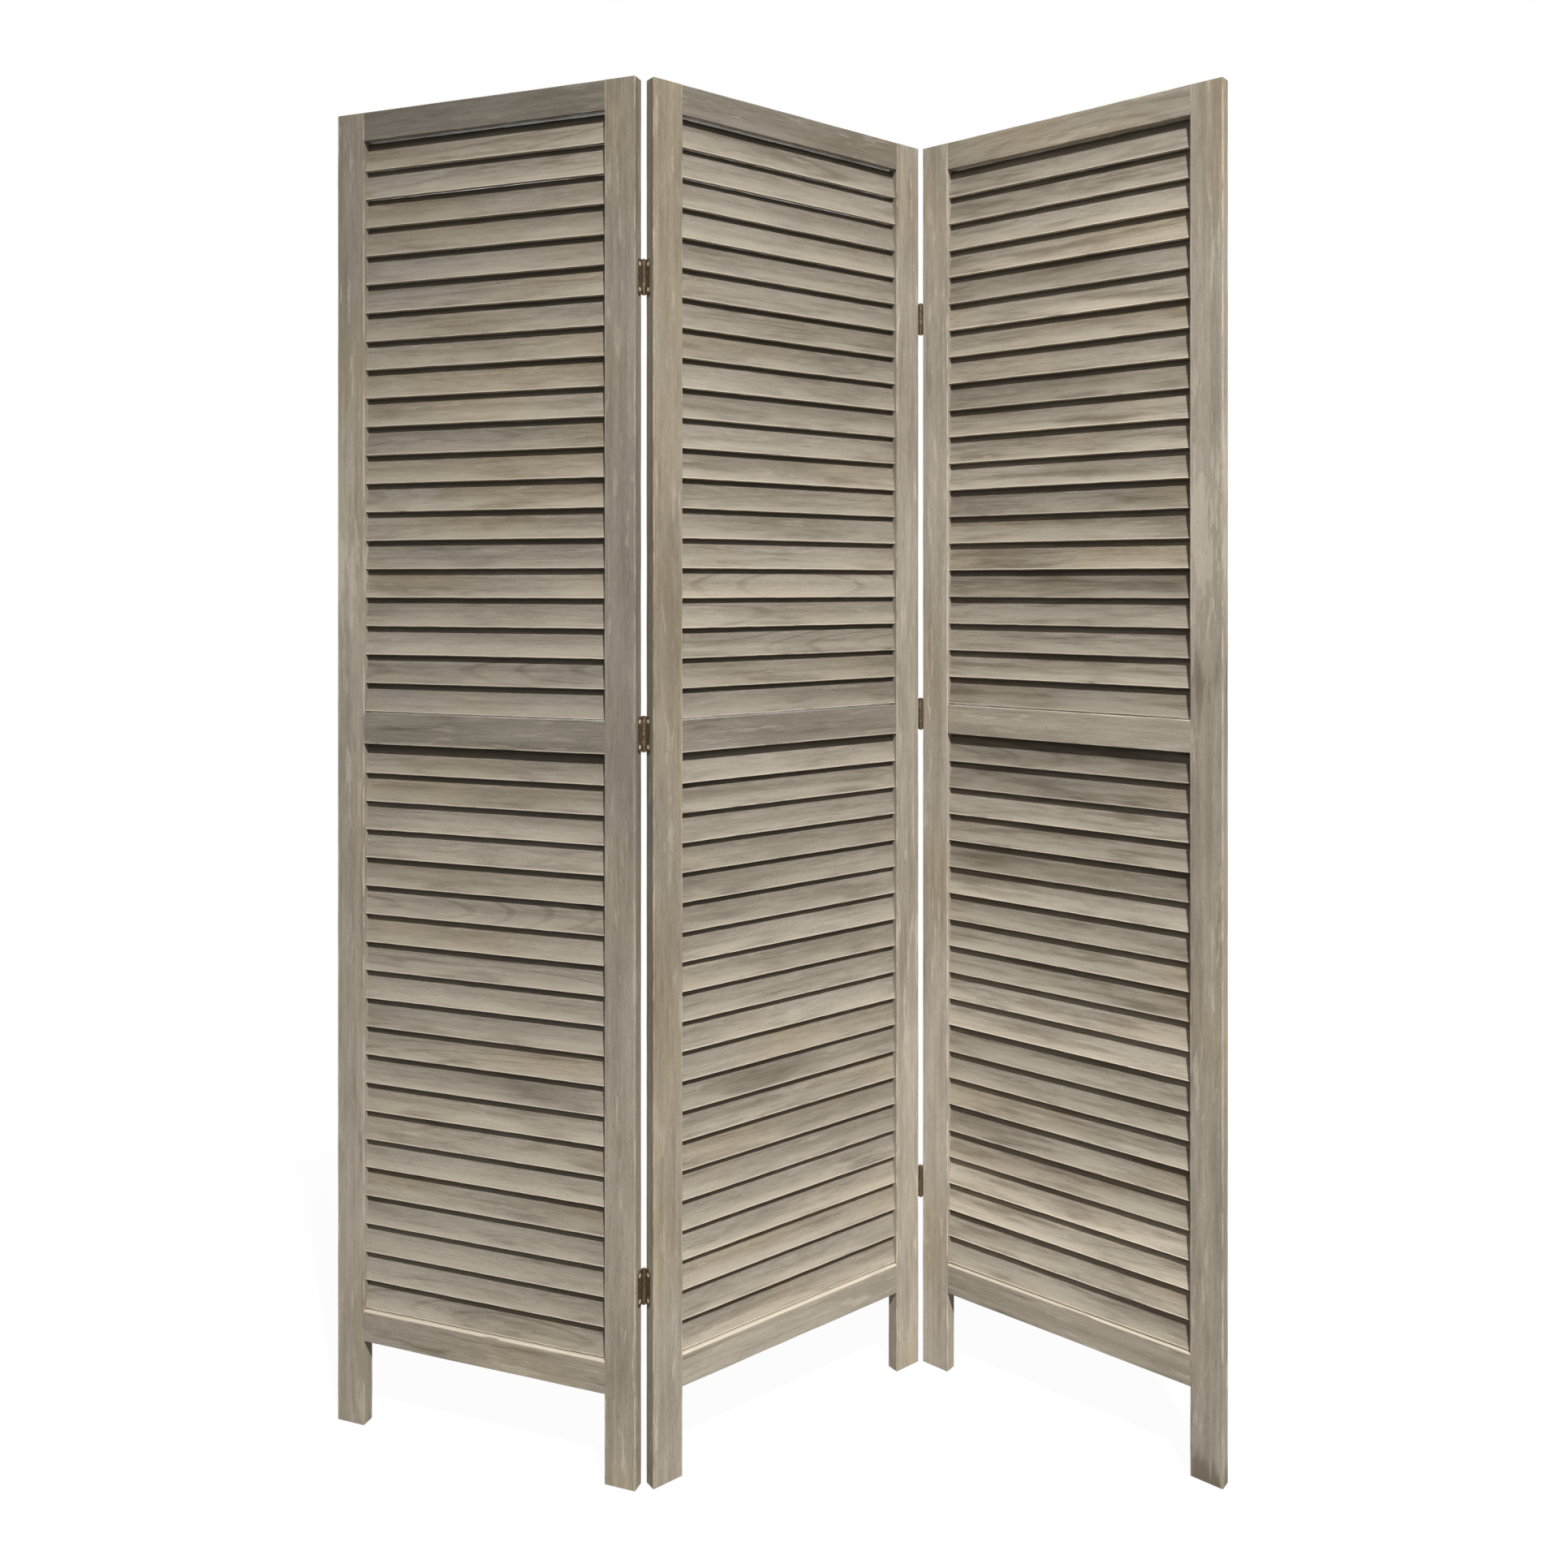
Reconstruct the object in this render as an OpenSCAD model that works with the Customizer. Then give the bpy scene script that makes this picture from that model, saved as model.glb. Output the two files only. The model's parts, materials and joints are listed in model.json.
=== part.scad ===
// Louvered folding screen.
// Three framed panels of fixed slats stand in a zigzag and fold flat on two rows of
// butt hinges. Sizes are in millimetres and +Z is up. The origin lies on the floor under
// the middle of the standing screen, +X runs to the right as seen from the front, and
// +Y points to the back.

/* [Panels] */
// Height of every panel, from the floor to the top of its stiles
panel_height = 1700; // [1550:5:1850]
// Width of every panel, across both of its stiles
panel_width = 430; // [360:5:500]
// Thickness of the frame timber, front to back
frame_thickness = 17; // [16:0.5:21]
// Width of a stile, as seen from the front
stile_width = 41; // [36:1:50]
// Radius that the outer arrises of the frame are sanded to
arris_radius = 1.5; // [0.5:0.1:2.5]

/* [Rails] */
// Height of the top rail
top_rail_height = 37; // [32:1:50]
// Height of the middle rail
middle_rail_height = 40; // [32:1:60]
// Height of the bottom rail
bottom_rail_height = 40; // [32:1:60]
// Level of the middle rail's centre line above the floor
middle_rail_level = 903; // [850:1:960]
// Clear height under the bottom rail
foot_height = 109; // [60:1:140]
// Radius that the long edges of the rails are sanded to
rail_edge_radius = 0.8; // [0.4:0.1:1.5]

/* [Slats] */
// Spacing of the slats that the bays are filled to as nearly as they allow
slat_spacing = 37; // [32:0.5:60]
// Width of a slat, across its grain
slat_width = 38; // [32:0.5:42]
// Thickness of a slat
slat_thickness = 4.5; // [3.5:0.25:5.5]
// Radius of a slat's long edges
slat_edge_radius = 0.6; // [0.4:0.1:1.7]
// Lean of a slat from upright, its top edge towards the back
slat_lean = 10.5; // [9:0.5:14]
// How far the slats lie behind the middle of the frame's thickness
slat_set_back = 0.9; // [0:0.1:1.4]
// Gap between a bay's end slats and the rails next to them
slat_rail_gap = 0.9; // [0.4:0.1:3]
// Depth of the housings that hold the slat ends in the stiles
housing_depth = 6; // [4:0.5:9]

/* [Hinges] */
// Distance of the upper hinges' middle below the top of the panels
upper_hinge_drop = 239; // [150:1:320]
// Level of the middle hinges' middle above the floor
middle_hinge_level = 908; // [840:1:980]
// Level of the left joint's lower hinge above the floor, to its middle
left_lower_hinge_level = 239; // [180:1:340]
// Level of the right joint's lower hinge above the floor, to its middle
right_lower_hinge_level = 253; // [180:1:340]
// Height of a hinge leaf
leaf_height = 43; // [36:1:60]
// Width of the part of a leaf that lies on the panel's edge
leaf_width = 10.5; // [9:0.5:13]
// Thickness of the leaf metal
leaf_thickness = 1.2; // [0.8:0.1:1.4]
// Radius of the two corners of a leaf's free edge
leaf_corner_radius = 3; // [1:0.5:3.5]
// Outer diameter of the hinge barrel
barrel_diameter = 4.8; // [4:0.1:6]
// Distance of the pin's axis from the face of the panels
pin_stand_off = 1; // [0.5:0.1:2.5]
// Diameter of the hinge pin
pin_diameter = 2; // [1.6:0.1:2.4]
// Number of knuckles that the two leaves of a hinge share
knuckle_count = 4; // [4:2:8]

/* [Fasteners] */
// Diameter of a hinge screw's head
screw_head_diameter = 5.2; // [4.6:0.1:6]
// Diameter of a hinge screw's shank
screw_diameter = 2.8; // [2.2:0.1:3]
// Length of a hinge screw below its leaf
screw_length = 13; // [8:1:16]
// Distance of a screw's centre from the nearer end of its leaf
screw_end_inset = 6; // [4:0.5:9]
// Distance of a screw's centre from the leaf's free edge
screw_edge_inset = 3.8; // [3.2:0.1:5]
// Diameter of the dowels that join rails and stiles
dowel_diameter = 6; // [5:0.5:8]
// Length of a dowel
dowel_length = 40; // [24:2:50]
// Distance between the two dowels at a rail's end
dowel_spacing = 19; // [14:1:22]

/* [Standing pose] */
// Turn of the centre panel, its left edge brought towards the viewer
centre_turn = 37.8; // [0:0.1:60]
// Angle that the left panel is folded back from flat
left_fold = 56.6; // [0:0.1:120]
// Angle that the right panel is folded forward from flat
right_fold = 75.6; // [0:0.1:120]

/* [Hidden] */
$fn = 32;

// Clearances of the fits.
housing_clearance = 0.15;   // round a slat's end in its housing
housing_end_gap = 0.5;      // past a slat's end in its housing
dowel_clearance = 0.05;     // round a dowel in its hole
dowel_end_gap = 0.5;        // past a dowel's end in its hole
screw_clearance = 0.05;     // round a screw's shank in the timber
pin_clearance = 0.05;       // round the pin in its knuckles
barrel_clearance = 0.3;     // between the barrel and what passes it
knuckle_gap = 0.2;          // between neighbouring knuckles
pin_head_margin = 0.3;      // from a pin head's rim to the barrel's outline
cut_past = 1;               // how far a cutting shape runs past the surface it opens

// Frame.
rail_length = panel_width - 2 * stile_width;
top_rail_bottom = panel_height - top_rail_height;
middle_rail_bottom = middle_rail_level - middle_rail_height / 2;
middle_rail_top = middle_rail_level + middle_rail_height / 2;
bottom_rail_top = foot_height + bottom_rail_height;
rail_levels = [
    panel_height - top_rail_height / 2,
    middle_rail_level,
    foot_height + bottom_rail_height / 2
];

// Slats. A bay takes a whole number of them, spread evenly between its two rails.
slat_rise = (slat_width - 2 * slat_edge_radius) * cos(slat_lean)
    + (slat_thickness - 2 * slat_edge_radius) * sin(slat_lean) + 2 * slat_edge_radius;
slat_middle_depth = frame_thickness / 2 + slat_set_back;
slat_length = rail_length + 2 * (housing_depth - housing_end_gap);

function bay_slat_levels(low, high) =
    let (
        first = low + slat_rail_gap + slat_rise / 2,
        last = high - slat_rail_gap - slat_rise / 2,
        steps = max(1, round((last - first) / slat_spacing))
    )
    [for (i = [0 : steps]) first + (last - first) * i / steps];

upper_slat_levels = bay_slat_levels(middle_rail_top, top_rail_bottom);
lower_slat_levels = bay_slat_levels(bottom_rail_top, middle_rail_bottom);

// Hinges. The gap between two panels lets the barrel stand between their edges.
edge_gap = barrel_diameter + 2 * barrel_clearance;
knuckle_pitch = leaf_height / knuckle_count;
function hinge_bottoms(lower_hinge_level) = [
    panel_height - upper_hinge_drop - leaf_height / 2,
    middle_hinge_level - leaf_height / 2,
    lower_hinge_level - leaf_height / 2
];
back_hinge_bottoms = hinge_bottoms(left_lower_hinge_level);
front_hinge_bottoms = hinge_bottoms(right_lower_hinge_level);
UPPER = 0;
MIDDLE = 1;
LOWER = 2;
pin_head_diameter = barrel_diameter - 2 * pin_head_margin;
pin_head_height = 0.8;
recess_width = 0.7;         // of one of the two crossed slots in a screw's head
recess_length = 3.2;
recess_depth = 0.8;
screw_tip_diameter = 0.6;
screw_tip_length = 3;
screw_levels = [screw_end_inset, leaf_height - screw_end_inset];
// Distance of a screw's centre from the panel's face that carries the barrel.
screw_depth = leaf_width - screw_edge_inset;

// Plan of the standing screen. A pin's place is given in the plan of its own panel,
// whose left front corner is that plan's zero.
function turned(p, angle) = [
    p.x * cos(angle) - p.y * sin(angle),
    p.x * sin(angle) + p.y * cos(angle)
];
left_angle = centre_turn - left_fold;
right_angle = centre_turn - right_fold;
back_pin_on_left_edge = [-edge_gap / 2, frame_thickness + pin_stand_off];
back_pin_on_right_edge = [panel_width + edge_gap / 2, frame_thickness + pin_stand_off];
front_pin_on_left_edge = [-edge_gap / 2, -pin_stand_off];
front_pin_on_right_edge = [panel_width + edge_gap / 2, -pin_stand_off];
left_pin_plan = turned(back_pin_on_left_edge, centre_turn);
right_pin_plan = turned(front_pin_on_right_edge, centre_turn);
left_plan = left_pin_plan - turned(back_pin_on_right_edge, left_angle);
right_plan = right_pin_plan - turned(front_pin_on_left_edge, right_angle);

// Each round corner and barrel of the plan as [centre, radius], for the plan's box.
corner_centres = [
    for (x = [arris_radius, panel_width - arris_radius])
        for (y = [arris_radius, frame_thickness - arris_radius])
            [x, y]
];
plan_rounds = concat(
    [for (c = corner_centres) [turned(c, centre_turn), arris_radius]],
    [for (c = corner_centres) [left_plan + turned(c, left_angle), arris_radius]],
    [for (c = corner_centres) [right_plan + turned(c, right_angle), arris_radius]],
    [[left_pin_plan, barrel_diameter / 2], [right_pin_plan, barrel_diameter / 2]]
);
plan_low = [for (k = [0, 1]) min([for (r = plan_rounds) r[0][k] - r[1]])];
plan_high = [for (k = [0, 1]) max([for (r = plan_rounds) r[0][k] + r[1]])];
plan_middle = (plan_low + plan_high) / 2;

// Colours.
frame_colour = "#9a9080";
slat_colour = "#a39a88";
dowel_colour = "#c8a878";
leaf_colour = "#4a3a2a";
pin_colour = "#6a5842";
screw_colour = "#b8a684";

module on_panel(plan, angle) {
    place = plan - plan_middle;
    translate([place.x, place.y, 0])
        rotate([0, 0, angle])
            children();
}

module on_left_panel() {
    on_panel(left_plan, left_angle) children();
}

module on_centre_panel() {
    on_panel([0, 0], centre_turn) children();
}

module on_right_panel() {
    on_panel(right_plan, right_angle) children();
}

// Turns a panel's left half into its right half.
module at_right_side() {
    translate([panel_width, 0, 0])
        mirror([1, 0, 0])
            children();
}

// Lays a profile drawn as [depth, height] along +X.
module along_width(length) {
    rotate([90, 0, 90])
        linear_extrude(height = length)
            children();
}

// Rectangle with its middle at zero and all four corners round.
module rounded_rectangle(size, radius) {
    straight = size - [2 * radius, 2 * radius];
    square([size.x, straight.y], center = true);
    square([straight.x, size.y], center = true);
    for (x = [-1, 1], y = [-1, 1])
        translate([x * straight.x / 2, y * straight.y / 2])
            circle(r = radius);
}

// Section of a slat, grown all round by the clearance of its housing.
module slat_section(grown = 0) {
    rotate(-slat_lean)
        rounded_rectangle(
            [slat_thickness + 2 * grown, slat_width + 2 * grown],
            slat_edge_radius + grown
        );
}

module slat_row(levels) {
    color(slat_colour)
        for (level = levels)
            translate([stile_width - housing_depth + housing_end_gap, slat_middle_depth, level])
                along_width(slat_length)
                    slat_section();
}

// Plan of a left stile: round arrises on the outer edge, square ones towards the bays.
module stile_plan() {
    translate([arris_radius, 0])
        square([stile_width - arris_radius, frame_thickness]);
    translate([0, arris_radius])
        square([arris_radius, frame_thickness - 2 * arris_radius]);
    for (y = [arris_radius, frame_thickness - arris_radius])
        translate([arris_radius, y])
            circle(r = arris_radius);
}

// The leaning housings that the slat ends sit in.
module slat_housings() {
    for (level = concat(upper_slat_levels, lower_slat_levels))
        translate([stile_width - housing_depth, slat_middle_depth, level])
            along_width(housing_depth + cut_past)
                slat_section(housing_clearance);
}

// Dowel-shaped rods at the three rail ends that meet a left stile.
module dowel_rods(start, length, diameter) {
    for (level = rail_levels, side = [-1, 1])
        translate([start, frame_thickness / 2, level + side * dowel_spacing / 2])
            rotate([0, 90, 0])
                cylinder(d = diameter, h = length);
}

module dowel_holes() {
    reach = dowel_length / 2 + dowel_end_gap;
    dowel_rods(stile_width - reach, 2 * reach, dowel_diameter + 2 * dowel_clearance);
}

// Pilot holes for the screws of one panel edge, screw_line from the front face.
module pilot_holes(screw_line, bottoms) {
    for (bottom = bottoms, level = screw_levels)
        translate([-cut_past, screw_line, bottom + level])
            rotate([0, 90, 0])
                cylinder(
                    d = screw_diameter + 2 * screw_clearance,
                    h = screw_length + screw_clearance + cut_past
                );
}

// Left stile with a free outer edge.
module stile() {
    color(frame_colour)
        difference() {
            linear_extrude(height = panel_height)
                stile_plan();
            slat_housings();
            dowel_holes();
        }
}

// Left stile whose outer edge carries the hinges, with the barrels behind the panel.
module stile_hinged_behind() {
    color(frame_colour)
        difference() {
            linear_extrude(height = panel_height)
                stile_plan();
            slat_housings();
            dowel_holes();
            pilot_holes(frame_thickness - screw_depth, back_hinge_bottoms);
        }
}

// Left stile whose outer edge carries the hinges, with the barrels before the panel.
module stile_hinged_before() {
    color(frame_colour)
        difference() {
            linear_extrude(height = panel_height)
                stile_plan();
            slat_housings();
            dowel_holes();
            pilot_holes(screw_depth, front_hinge_bottoms);
        }
}

module rail(height, bottom) {
    color(frame_colour)
        difference() {
            translate([stile_width, frame_thickness / 2, bottom + height / 2])
                along_width(rail_length)
                    rounded_rectangle([frame_thickness, height], rail_edge_radius);
            dowel_holes();
            at_right_side()
                dowel_holes();
        }
}

module top_rail() {
    rail(top_rail_height, top_rail_bottom);
}

module middle_rail() {
    rail(middle_rail_height, middle_rail_bottom);
}

module bottom_rail() {
    rail(bottom_rail_height, foot_height);
}

module upper_slats() {
    slat_row(upper_slat_levels);
}

module lower_slats() {
    slat_row(lower_slat_levels);
}

module panel_dowels() {
    color(dowel_colour) {
        dowel_rods(stile_width - dowel_length / 2, dowel_length, dowel_diameter);
        at_right_side()
            dowel_rods(stile_width - dowel_length / 2, dowel_length, dowel_diameter);
    }
}

// The four places of a hinge part. A hinge part is drawn with its pin on the Z axis and
// its leaf on the -X side, reaching towards -Y.
module at_hinge(pin, bottom, flip_x = 0, flip_y = 0) {
    translate([pin.x, pin.y, bottom])
        mirror([flip_x, 0, 0])
            mirror([0, flip_y, 0])
                children();
}

module at_back_hinge_on_right_edge(row) {
    at_hinge(back_pin_on_right_edge, back_hinge_bottoms[row]) children();
}

module at_back_hinge_on_left_edge(row) {
    at_hinge(back_pin_on_left_edge, back_hinge_bottoms[row], flip_x = 1) children();
}

module at_front_hinge_on_right_edge(row) {
    at_hinge(front_pin_on_right_edge, front_hinge_bottoms[row], flip_y = 1) children();
}

module at_front_hinge_on_left_edge(row) {
    at_hinge(front_pin_on_left_edge, front_hinge_bottoms[row], flip_x = 1, flip_y = 1)
        children();
}

// A knuckle, counted from the bottom of the hinge, as a solid rod.
module knuckle_rod(index, diameter, gap) {
    translate([0, 0, index * knuckle_pitch + gap / 2])
        cylinder(d = diameter, h = knuckle_pitch - gap);
}

// Plate of a leaf, with the two corners of its free edge round.
module leaf_plate() {
    reach = leaf_width + pin_stand_off - barrel_clearance;
    translate([-edge_gap / 2, -pin_stand_off - leaf_width, 0])
        along_width(leaf_thickness) {
            translate([leaf_corner_radius, 0])
                square([reach - leaf_corner_radius, leaf_height]);
            translate([0, leaf_corner_radius])
                square([leaf_corner_radius, leaf_height - 2 * leaf_corner_radius]);
            for (z = [leaf_corner_radius, leaf_height - leaf_corner_radius])
                translate([leaf_corner_radius, z])
                    circle(r = leaf_corner_radius);
        }
}

// A leaf with the knuckles first_knuckle, first_knuckle + 2 and so on. Its plate is cut
// back where the other leaf's knuckles turn.
module hinge_leaf(first_knuckle) {
    color(leaf_colour)
        difference() {
            union() {
                difference() {
                    leaf_plate();
                    for (i = [1 - first_knuckle : 2 : knuckle_count - 1])
                        knuckle_rod(i, barrel_diameter + 2 * barrel_clearance, -knuckle_gap);
                }
                for (i = [first_knuckle : 2 : knuckle_count - 1])
                    knuckle_rod(i, barrel_diameter, knuckle_gap);
            }
            translate([0, 0, -cut_past])
                cylinder(
                    d = pin_diameter + 2 * pin_clearance,
                    h = leaf_height + 2 * cut_past
                );
            for (level = screw_levels)
                hinge_screw_at(level)
                    screw_head(cut_past, screw_clearance);
        }
}

// A hinge screw is drawn along +Z with its head's face at zero.
module hinge_screw_at(level) {
    translate([-edge_gap / 2 + leaf_thickness, -pin_stand_off - screw_depth, level])
        rotate([0, -90, 0])
            children();
}

// Countersunk head down to the back of the leaf, or the hole that it lies in.
module screw_head(above = 0, grown = 0) {
    cylinder(
        d1 = screw_head_diameter + 2 * grown,
        d2 = screw_diameter + 2 * grown,
        h = leaf_thickness
    );
    if (above > 0) {
        translate([0, 0, -above])
            cylinder(d = screw_head_diameter + 2 * grown, h = above);
        cylinder(d = screw_diameter + 2 * grown, h = leaf_thickness + above);
    }
}

// The two crossed slots that a driver turns the screw by.
module cross_recess() {
    for (angle = [0, 90])
        rotate([0, 0, angle])
            translate([-recess_length / 2, -recess_width / 2, -cut_past])
                cube([recess_length, recess_width, cut_past + recess_depth]);
}

module hinge_screw() {
    straight = screw_length - screw_tip_length;
    difference() {
        screw_head();
        cross_recess();
    }
    translate([0, 0, leaf_thickness])
        cylinder(d = screw_diameter, h = straight);
    translate([0, 0, leaf_thickness + straight])
        cylinder(d1 = screw_diameter, d2 = screw_tip_diameter, h = screw_tip_length);
}

module leaf_screws() {
    color(screw_colour)
        for (level = screw_levels)
            hinge_screw_at(level)
                hinge_screw();
}

// Pin with a low round head at each end of the barrel.
module hinge_pin() {
    color(pin_colour) {
        translate([0, 0, -pin_clearance])
            cylinder(d = pin_diameter, h = leaf_height + 2 * pin_clearance);
        translate([0, 0, -pin_clearance - pin_head_height])
            cylinder(d = pin_head_diameter, h = pin_head_height);
        translate([0, 0, leaf_height + pin_clearance])
            cylinder(d = pin_head_diameter, h = pin_head_height);
    }
}

module left_panel_screws() {
    for (row = [UPPER, MIDDLE, LOWER])
        at_back_hinge_on_right_edge(row)
            leaf_screws();
}

module centre_panel_left_screws() {
    for (row = [UPPER, MIDDLE, LOWER])
        at_back_hinge_on_left_edge(row)
            leaf_screws();
}

module centre_panel_right_screws() {
    for (row = [UPPER, MIDDLE, LOWER])
        at_front_hinge_on_right_edge(row)
            leaf_screws();
}

module right_panel_screws() {
    for (row = [UPPER, MIDDLE, LOWER])
        at_front_hinge_on_left_edge(row)
            leaf_screws();
}

// The leaf named first in a hinge has the upper of each pair of knuckles.
module left_hinge_left_leaf(row) {
    on_left_panel() at_back_hinge_on_right_edge(row) hinge_leaf(1);
}

module left_hinge_centre_leaf(row) {
    on_centre_panel() at_back_hinge_on_left_edge(row) hinge_leaf(0);
}

module left_hinge_pin(row) {
    on_centre_panel() at_back_hinge_on_left_edge(row) hinge_pin();
}

module right_hinge_centre_leaf(row) {
    on_centre_panel() at_front_hinge_on_right_edge(row) hinge_leaf(1);
}

module right_hinge_right_leaf(row) {
    on_right_panel() at_front_hinge_on_left_edge(row) hinge_leaf(0);
}

module right_hinge_pin(row) {
    on_centre_panel() at_front_hinge_on_right_edge(row) hinge_pin();
}

on_left_panel() stile();  // left_panel_left_stile
on_left_panel() at_right_side() stile_hinged_behind();  // left_panel_right_stile
on_left_panel() top_rail();  // left_panel_top_rail
on_left_panel() middle_rail();  // left_panel_middle_rail
on_left_panel() bottom_rail();  // left_panel_bottom_rail
on_left_panel() upper_slats();  // left_panel_upper_slats
on_left_panel() lower_slats();  // left_panel_lower_slats
on_left_panel() panel_dowels();  // left_panel_dowels

on_centre_panel() stile_hinged_behind();  // centre_panel_left_stile
on_centre_panel() at_right_side() stile_hinged_before();  // centre_panel_right_stile
on_centre_panel() top_rail();  // centre_panel_top_rail
on_centre_panel() middle_rail();  // centre_panel_middle_rail
on_centre_panel() bottom_rail();  // centre_panel_bottom_rail
on_centre_panel() upper_slats();  // centre_panel_upper_slats
on_centre_panel() lower_slats();  // centre_panel_lower_slats
on_centre_panel() panel_dowels();  // centre_panel_dowels

on_right_panel() stile_hinged_before();  // right_panel_left_stile
on_right_panel() at_right_side() stile();  // right_panel_right_stile
on_right_panel() top_rail();  // right_panel_top_rail
on_right_panel() middle_rail();  // right_panel_middle_rail
on_right_panel() bottom_rail();  // right_panel_bottom_rail
on_right_panel() upper_slats();  // right_panel_upper_slats
on_right_panel() lower_slats();  // right_panel_lower_slats
on_right_panel() panel_dowels();  // right_panel_dowels

left_hinge_left_leaf(UPPER);  // left_hinge_upper_left_leaf
left_hinge_centre_leaf(UPPER);  // left_hinge_upper_centre_leaf
left_hinge_pin(UPPER);  // left_hinge_upper_pin
left_hinge_left_leaf(MIDDLE);  // left_hinge_middle_left_leaf
left_hinge_centre_leaf(MIDDLE);  // left_hinge_middle_centre_leaf
left_hinge_pin(MIDDLE);  // left_hinge_middle_pin
left_hinge_left_leaf(LOWER);  // left_hinge_lower_left_leaf
left_hinge_centre_leaf(LOWER);  // left_hinge_lower_centre_leaf
left_hinge_pin(LOWER);  // left_hinge_lower_pin

right_hinge_centre_leaf(UPPER);  // right_hinge_upper_centre_leaf
right_hinge_right_leaf(UPPER);  // right_hinge_upper_right_leaf
right_hinge_pin(UPPER);  // right_hinge_upper_pin
right_hinge_centre_leaf(MIDDLE);  // right_hinge_middle_centre_leaf
right_hinge_right_leaf(MIDDLE);  // right_hinge_middle_right_leaf
right_hinge_pin(MIDDLE);  // right_hinge_middle_pin
right_hinge_centre_leaf(LOWER);  // right_hinge_lower_centre_leaf
right_hinge_right_leaf(LOWER);  // right_hinge_lower_right_leaf
right_hinge_pin(LOWER);  // right_hinge_lower_pin

on_left_panel() left_panel_screws();  // left_panel_hinge_screws
on_centre_panel() centre_panel_left_screws();  // centre_panel_left_hinge_screws
on_centre_panel() centre_panel_right_screws();  // centre_panel_right_hinge_screws
on_right_panel() right_panel_screws();  // right_panel_hinge_screws
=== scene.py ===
# %% [markdown]
# # Louvered folding screen
# Three framed panels of fixed wooden slats stand in a zigzag and fold on two rows of small
# butt hinges. The real screen is made of light, straight-grained boards under a thin grey
# wash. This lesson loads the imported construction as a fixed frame, and gives every board,
# slat, screw and hinge its finish. All sizes are metres, in the frame's own coordinates.

import json
import math
import random

import bpy
from mathutils import Matrix, Vector, noise


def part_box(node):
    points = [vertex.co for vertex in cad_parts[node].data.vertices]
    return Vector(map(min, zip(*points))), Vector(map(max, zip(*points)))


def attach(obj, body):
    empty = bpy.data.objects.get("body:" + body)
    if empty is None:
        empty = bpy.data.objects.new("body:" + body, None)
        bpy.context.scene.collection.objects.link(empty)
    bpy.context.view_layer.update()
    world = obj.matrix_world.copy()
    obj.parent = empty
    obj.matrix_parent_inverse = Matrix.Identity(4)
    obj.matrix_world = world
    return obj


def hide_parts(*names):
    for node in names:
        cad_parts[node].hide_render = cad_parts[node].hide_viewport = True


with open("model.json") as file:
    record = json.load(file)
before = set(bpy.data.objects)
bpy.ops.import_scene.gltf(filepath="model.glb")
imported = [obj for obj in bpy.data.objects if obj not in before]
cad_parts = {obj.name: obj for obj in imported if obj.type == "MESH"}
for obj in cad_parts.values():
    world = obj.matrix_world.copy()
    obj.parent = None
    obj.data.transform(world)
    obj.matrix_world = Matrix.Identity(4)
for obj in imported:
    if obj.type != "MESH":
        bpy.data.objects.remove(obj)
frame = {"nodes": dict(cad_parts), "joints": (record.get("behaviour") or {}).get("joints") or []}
scene = bpy.context.scene
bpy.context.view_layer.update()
print("nodes:", len(frame["nodes"]))

# %% [markdown]
# ## Where each panel stands
# Each panel was drawn flat, with u along its width, v from its front face to its back and
# z up, and then turned and moved to its place in the zigzag. A panel hangs on a hinge pin,
# and the frame says where the two pins are. So a panel's place follows from its turn and
# from where its own plan has the pin, and nothing has to be fitted by eye.

# %% Panel places
PANEL_WIDTH = 0.430
FRAME_THICKNESS = 0.017
STILE_WIDTH = 0.041
EDGE_GAP = 0.0054            # between two panels that stand in line
PIN_STAND_OFF = 0.001        # from a panel's face to the middle of a pin
PANEL_TURNS = {"left": -18.8, "centre": 37.8, "right": -37.8}

PIN_BEHIND = FRAME_THICKNESS + PIN_STAND_OFF
PIN_BEFORE = -PIN_STAND_OFF
PIN_LEFT = -EDGE_GAP / 2
PIN_RIGHT = PANEL_WIDTH + EDGE_GAP / 2
PIN_PLANS = {
    "left": ("left_panel_fold", (PIN_RIGHT, PIN_BEHIND)),
    "centre": ("left_panel_fold", (PIN_LEFT, PIN_BEHIND)),
    "right": ("right_panel_fold", (PIN_LEFT, PIN_BEFORE)),
}


def panel_place(panel):
    """The matrix that takes a panel's own plan to its place in the standing screen."""
    joint_name, pin_plan = PIN_PLANS[panel]
    joint = next(j for j in frame["joints"] if j["name"] == joint_name)
    turn = Matrix.Rotation(math.radians(PANEL_TURNS[panel]), 4, "Z")
    corner = Vector((joint["pos_m"][0], joint["pos_m"][1], 0))
    corner -= turn @ Vector((pin_plan[0], pin_plan[1], 0))
    return Matrix.Translation(corner) @ turn


PLACES = {panel: panel_place(panel) for panel in PANEL_TURNS}
for panel, place in PLACES.items():
    print(panel, "panel's left front corner:", [round(c, 5) for c in place.translation])

# %% [markdown]
# ## Camera
# The photograph was taken standing about 1.7 m in front of the screen, with the lens level
# at chest height. A level camera keeps the stiles upright in the picture, and the shift
# slides the frame down and left without tilting them, as a view camera's does.

# %% Camera
CAMERA_PLACE = (0.0608, -1.7253, 1.0872)
CAMERA_LENS = 30.328
CAMERA_SHIFT = (-0.01967, -0.12631)

camera_data = bpy.data.cameras.new("camera")
camera_data.lens = CAMERA_LENS
camera_data.sensor_width = 36
camera_data.shift_x, camera_data.shift_y = CAMERA_SHIFT
camera = bpy.data.objects.new("camera", camera_data)
camera.location = CAMERA_PLACE
camera.rotation_euler = (math.radians(90), 0, 0)
scene.collection.objects.link(camera)
scene.camera = camera
print("camera lens:", camera_data.lens, "mm")

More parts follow.
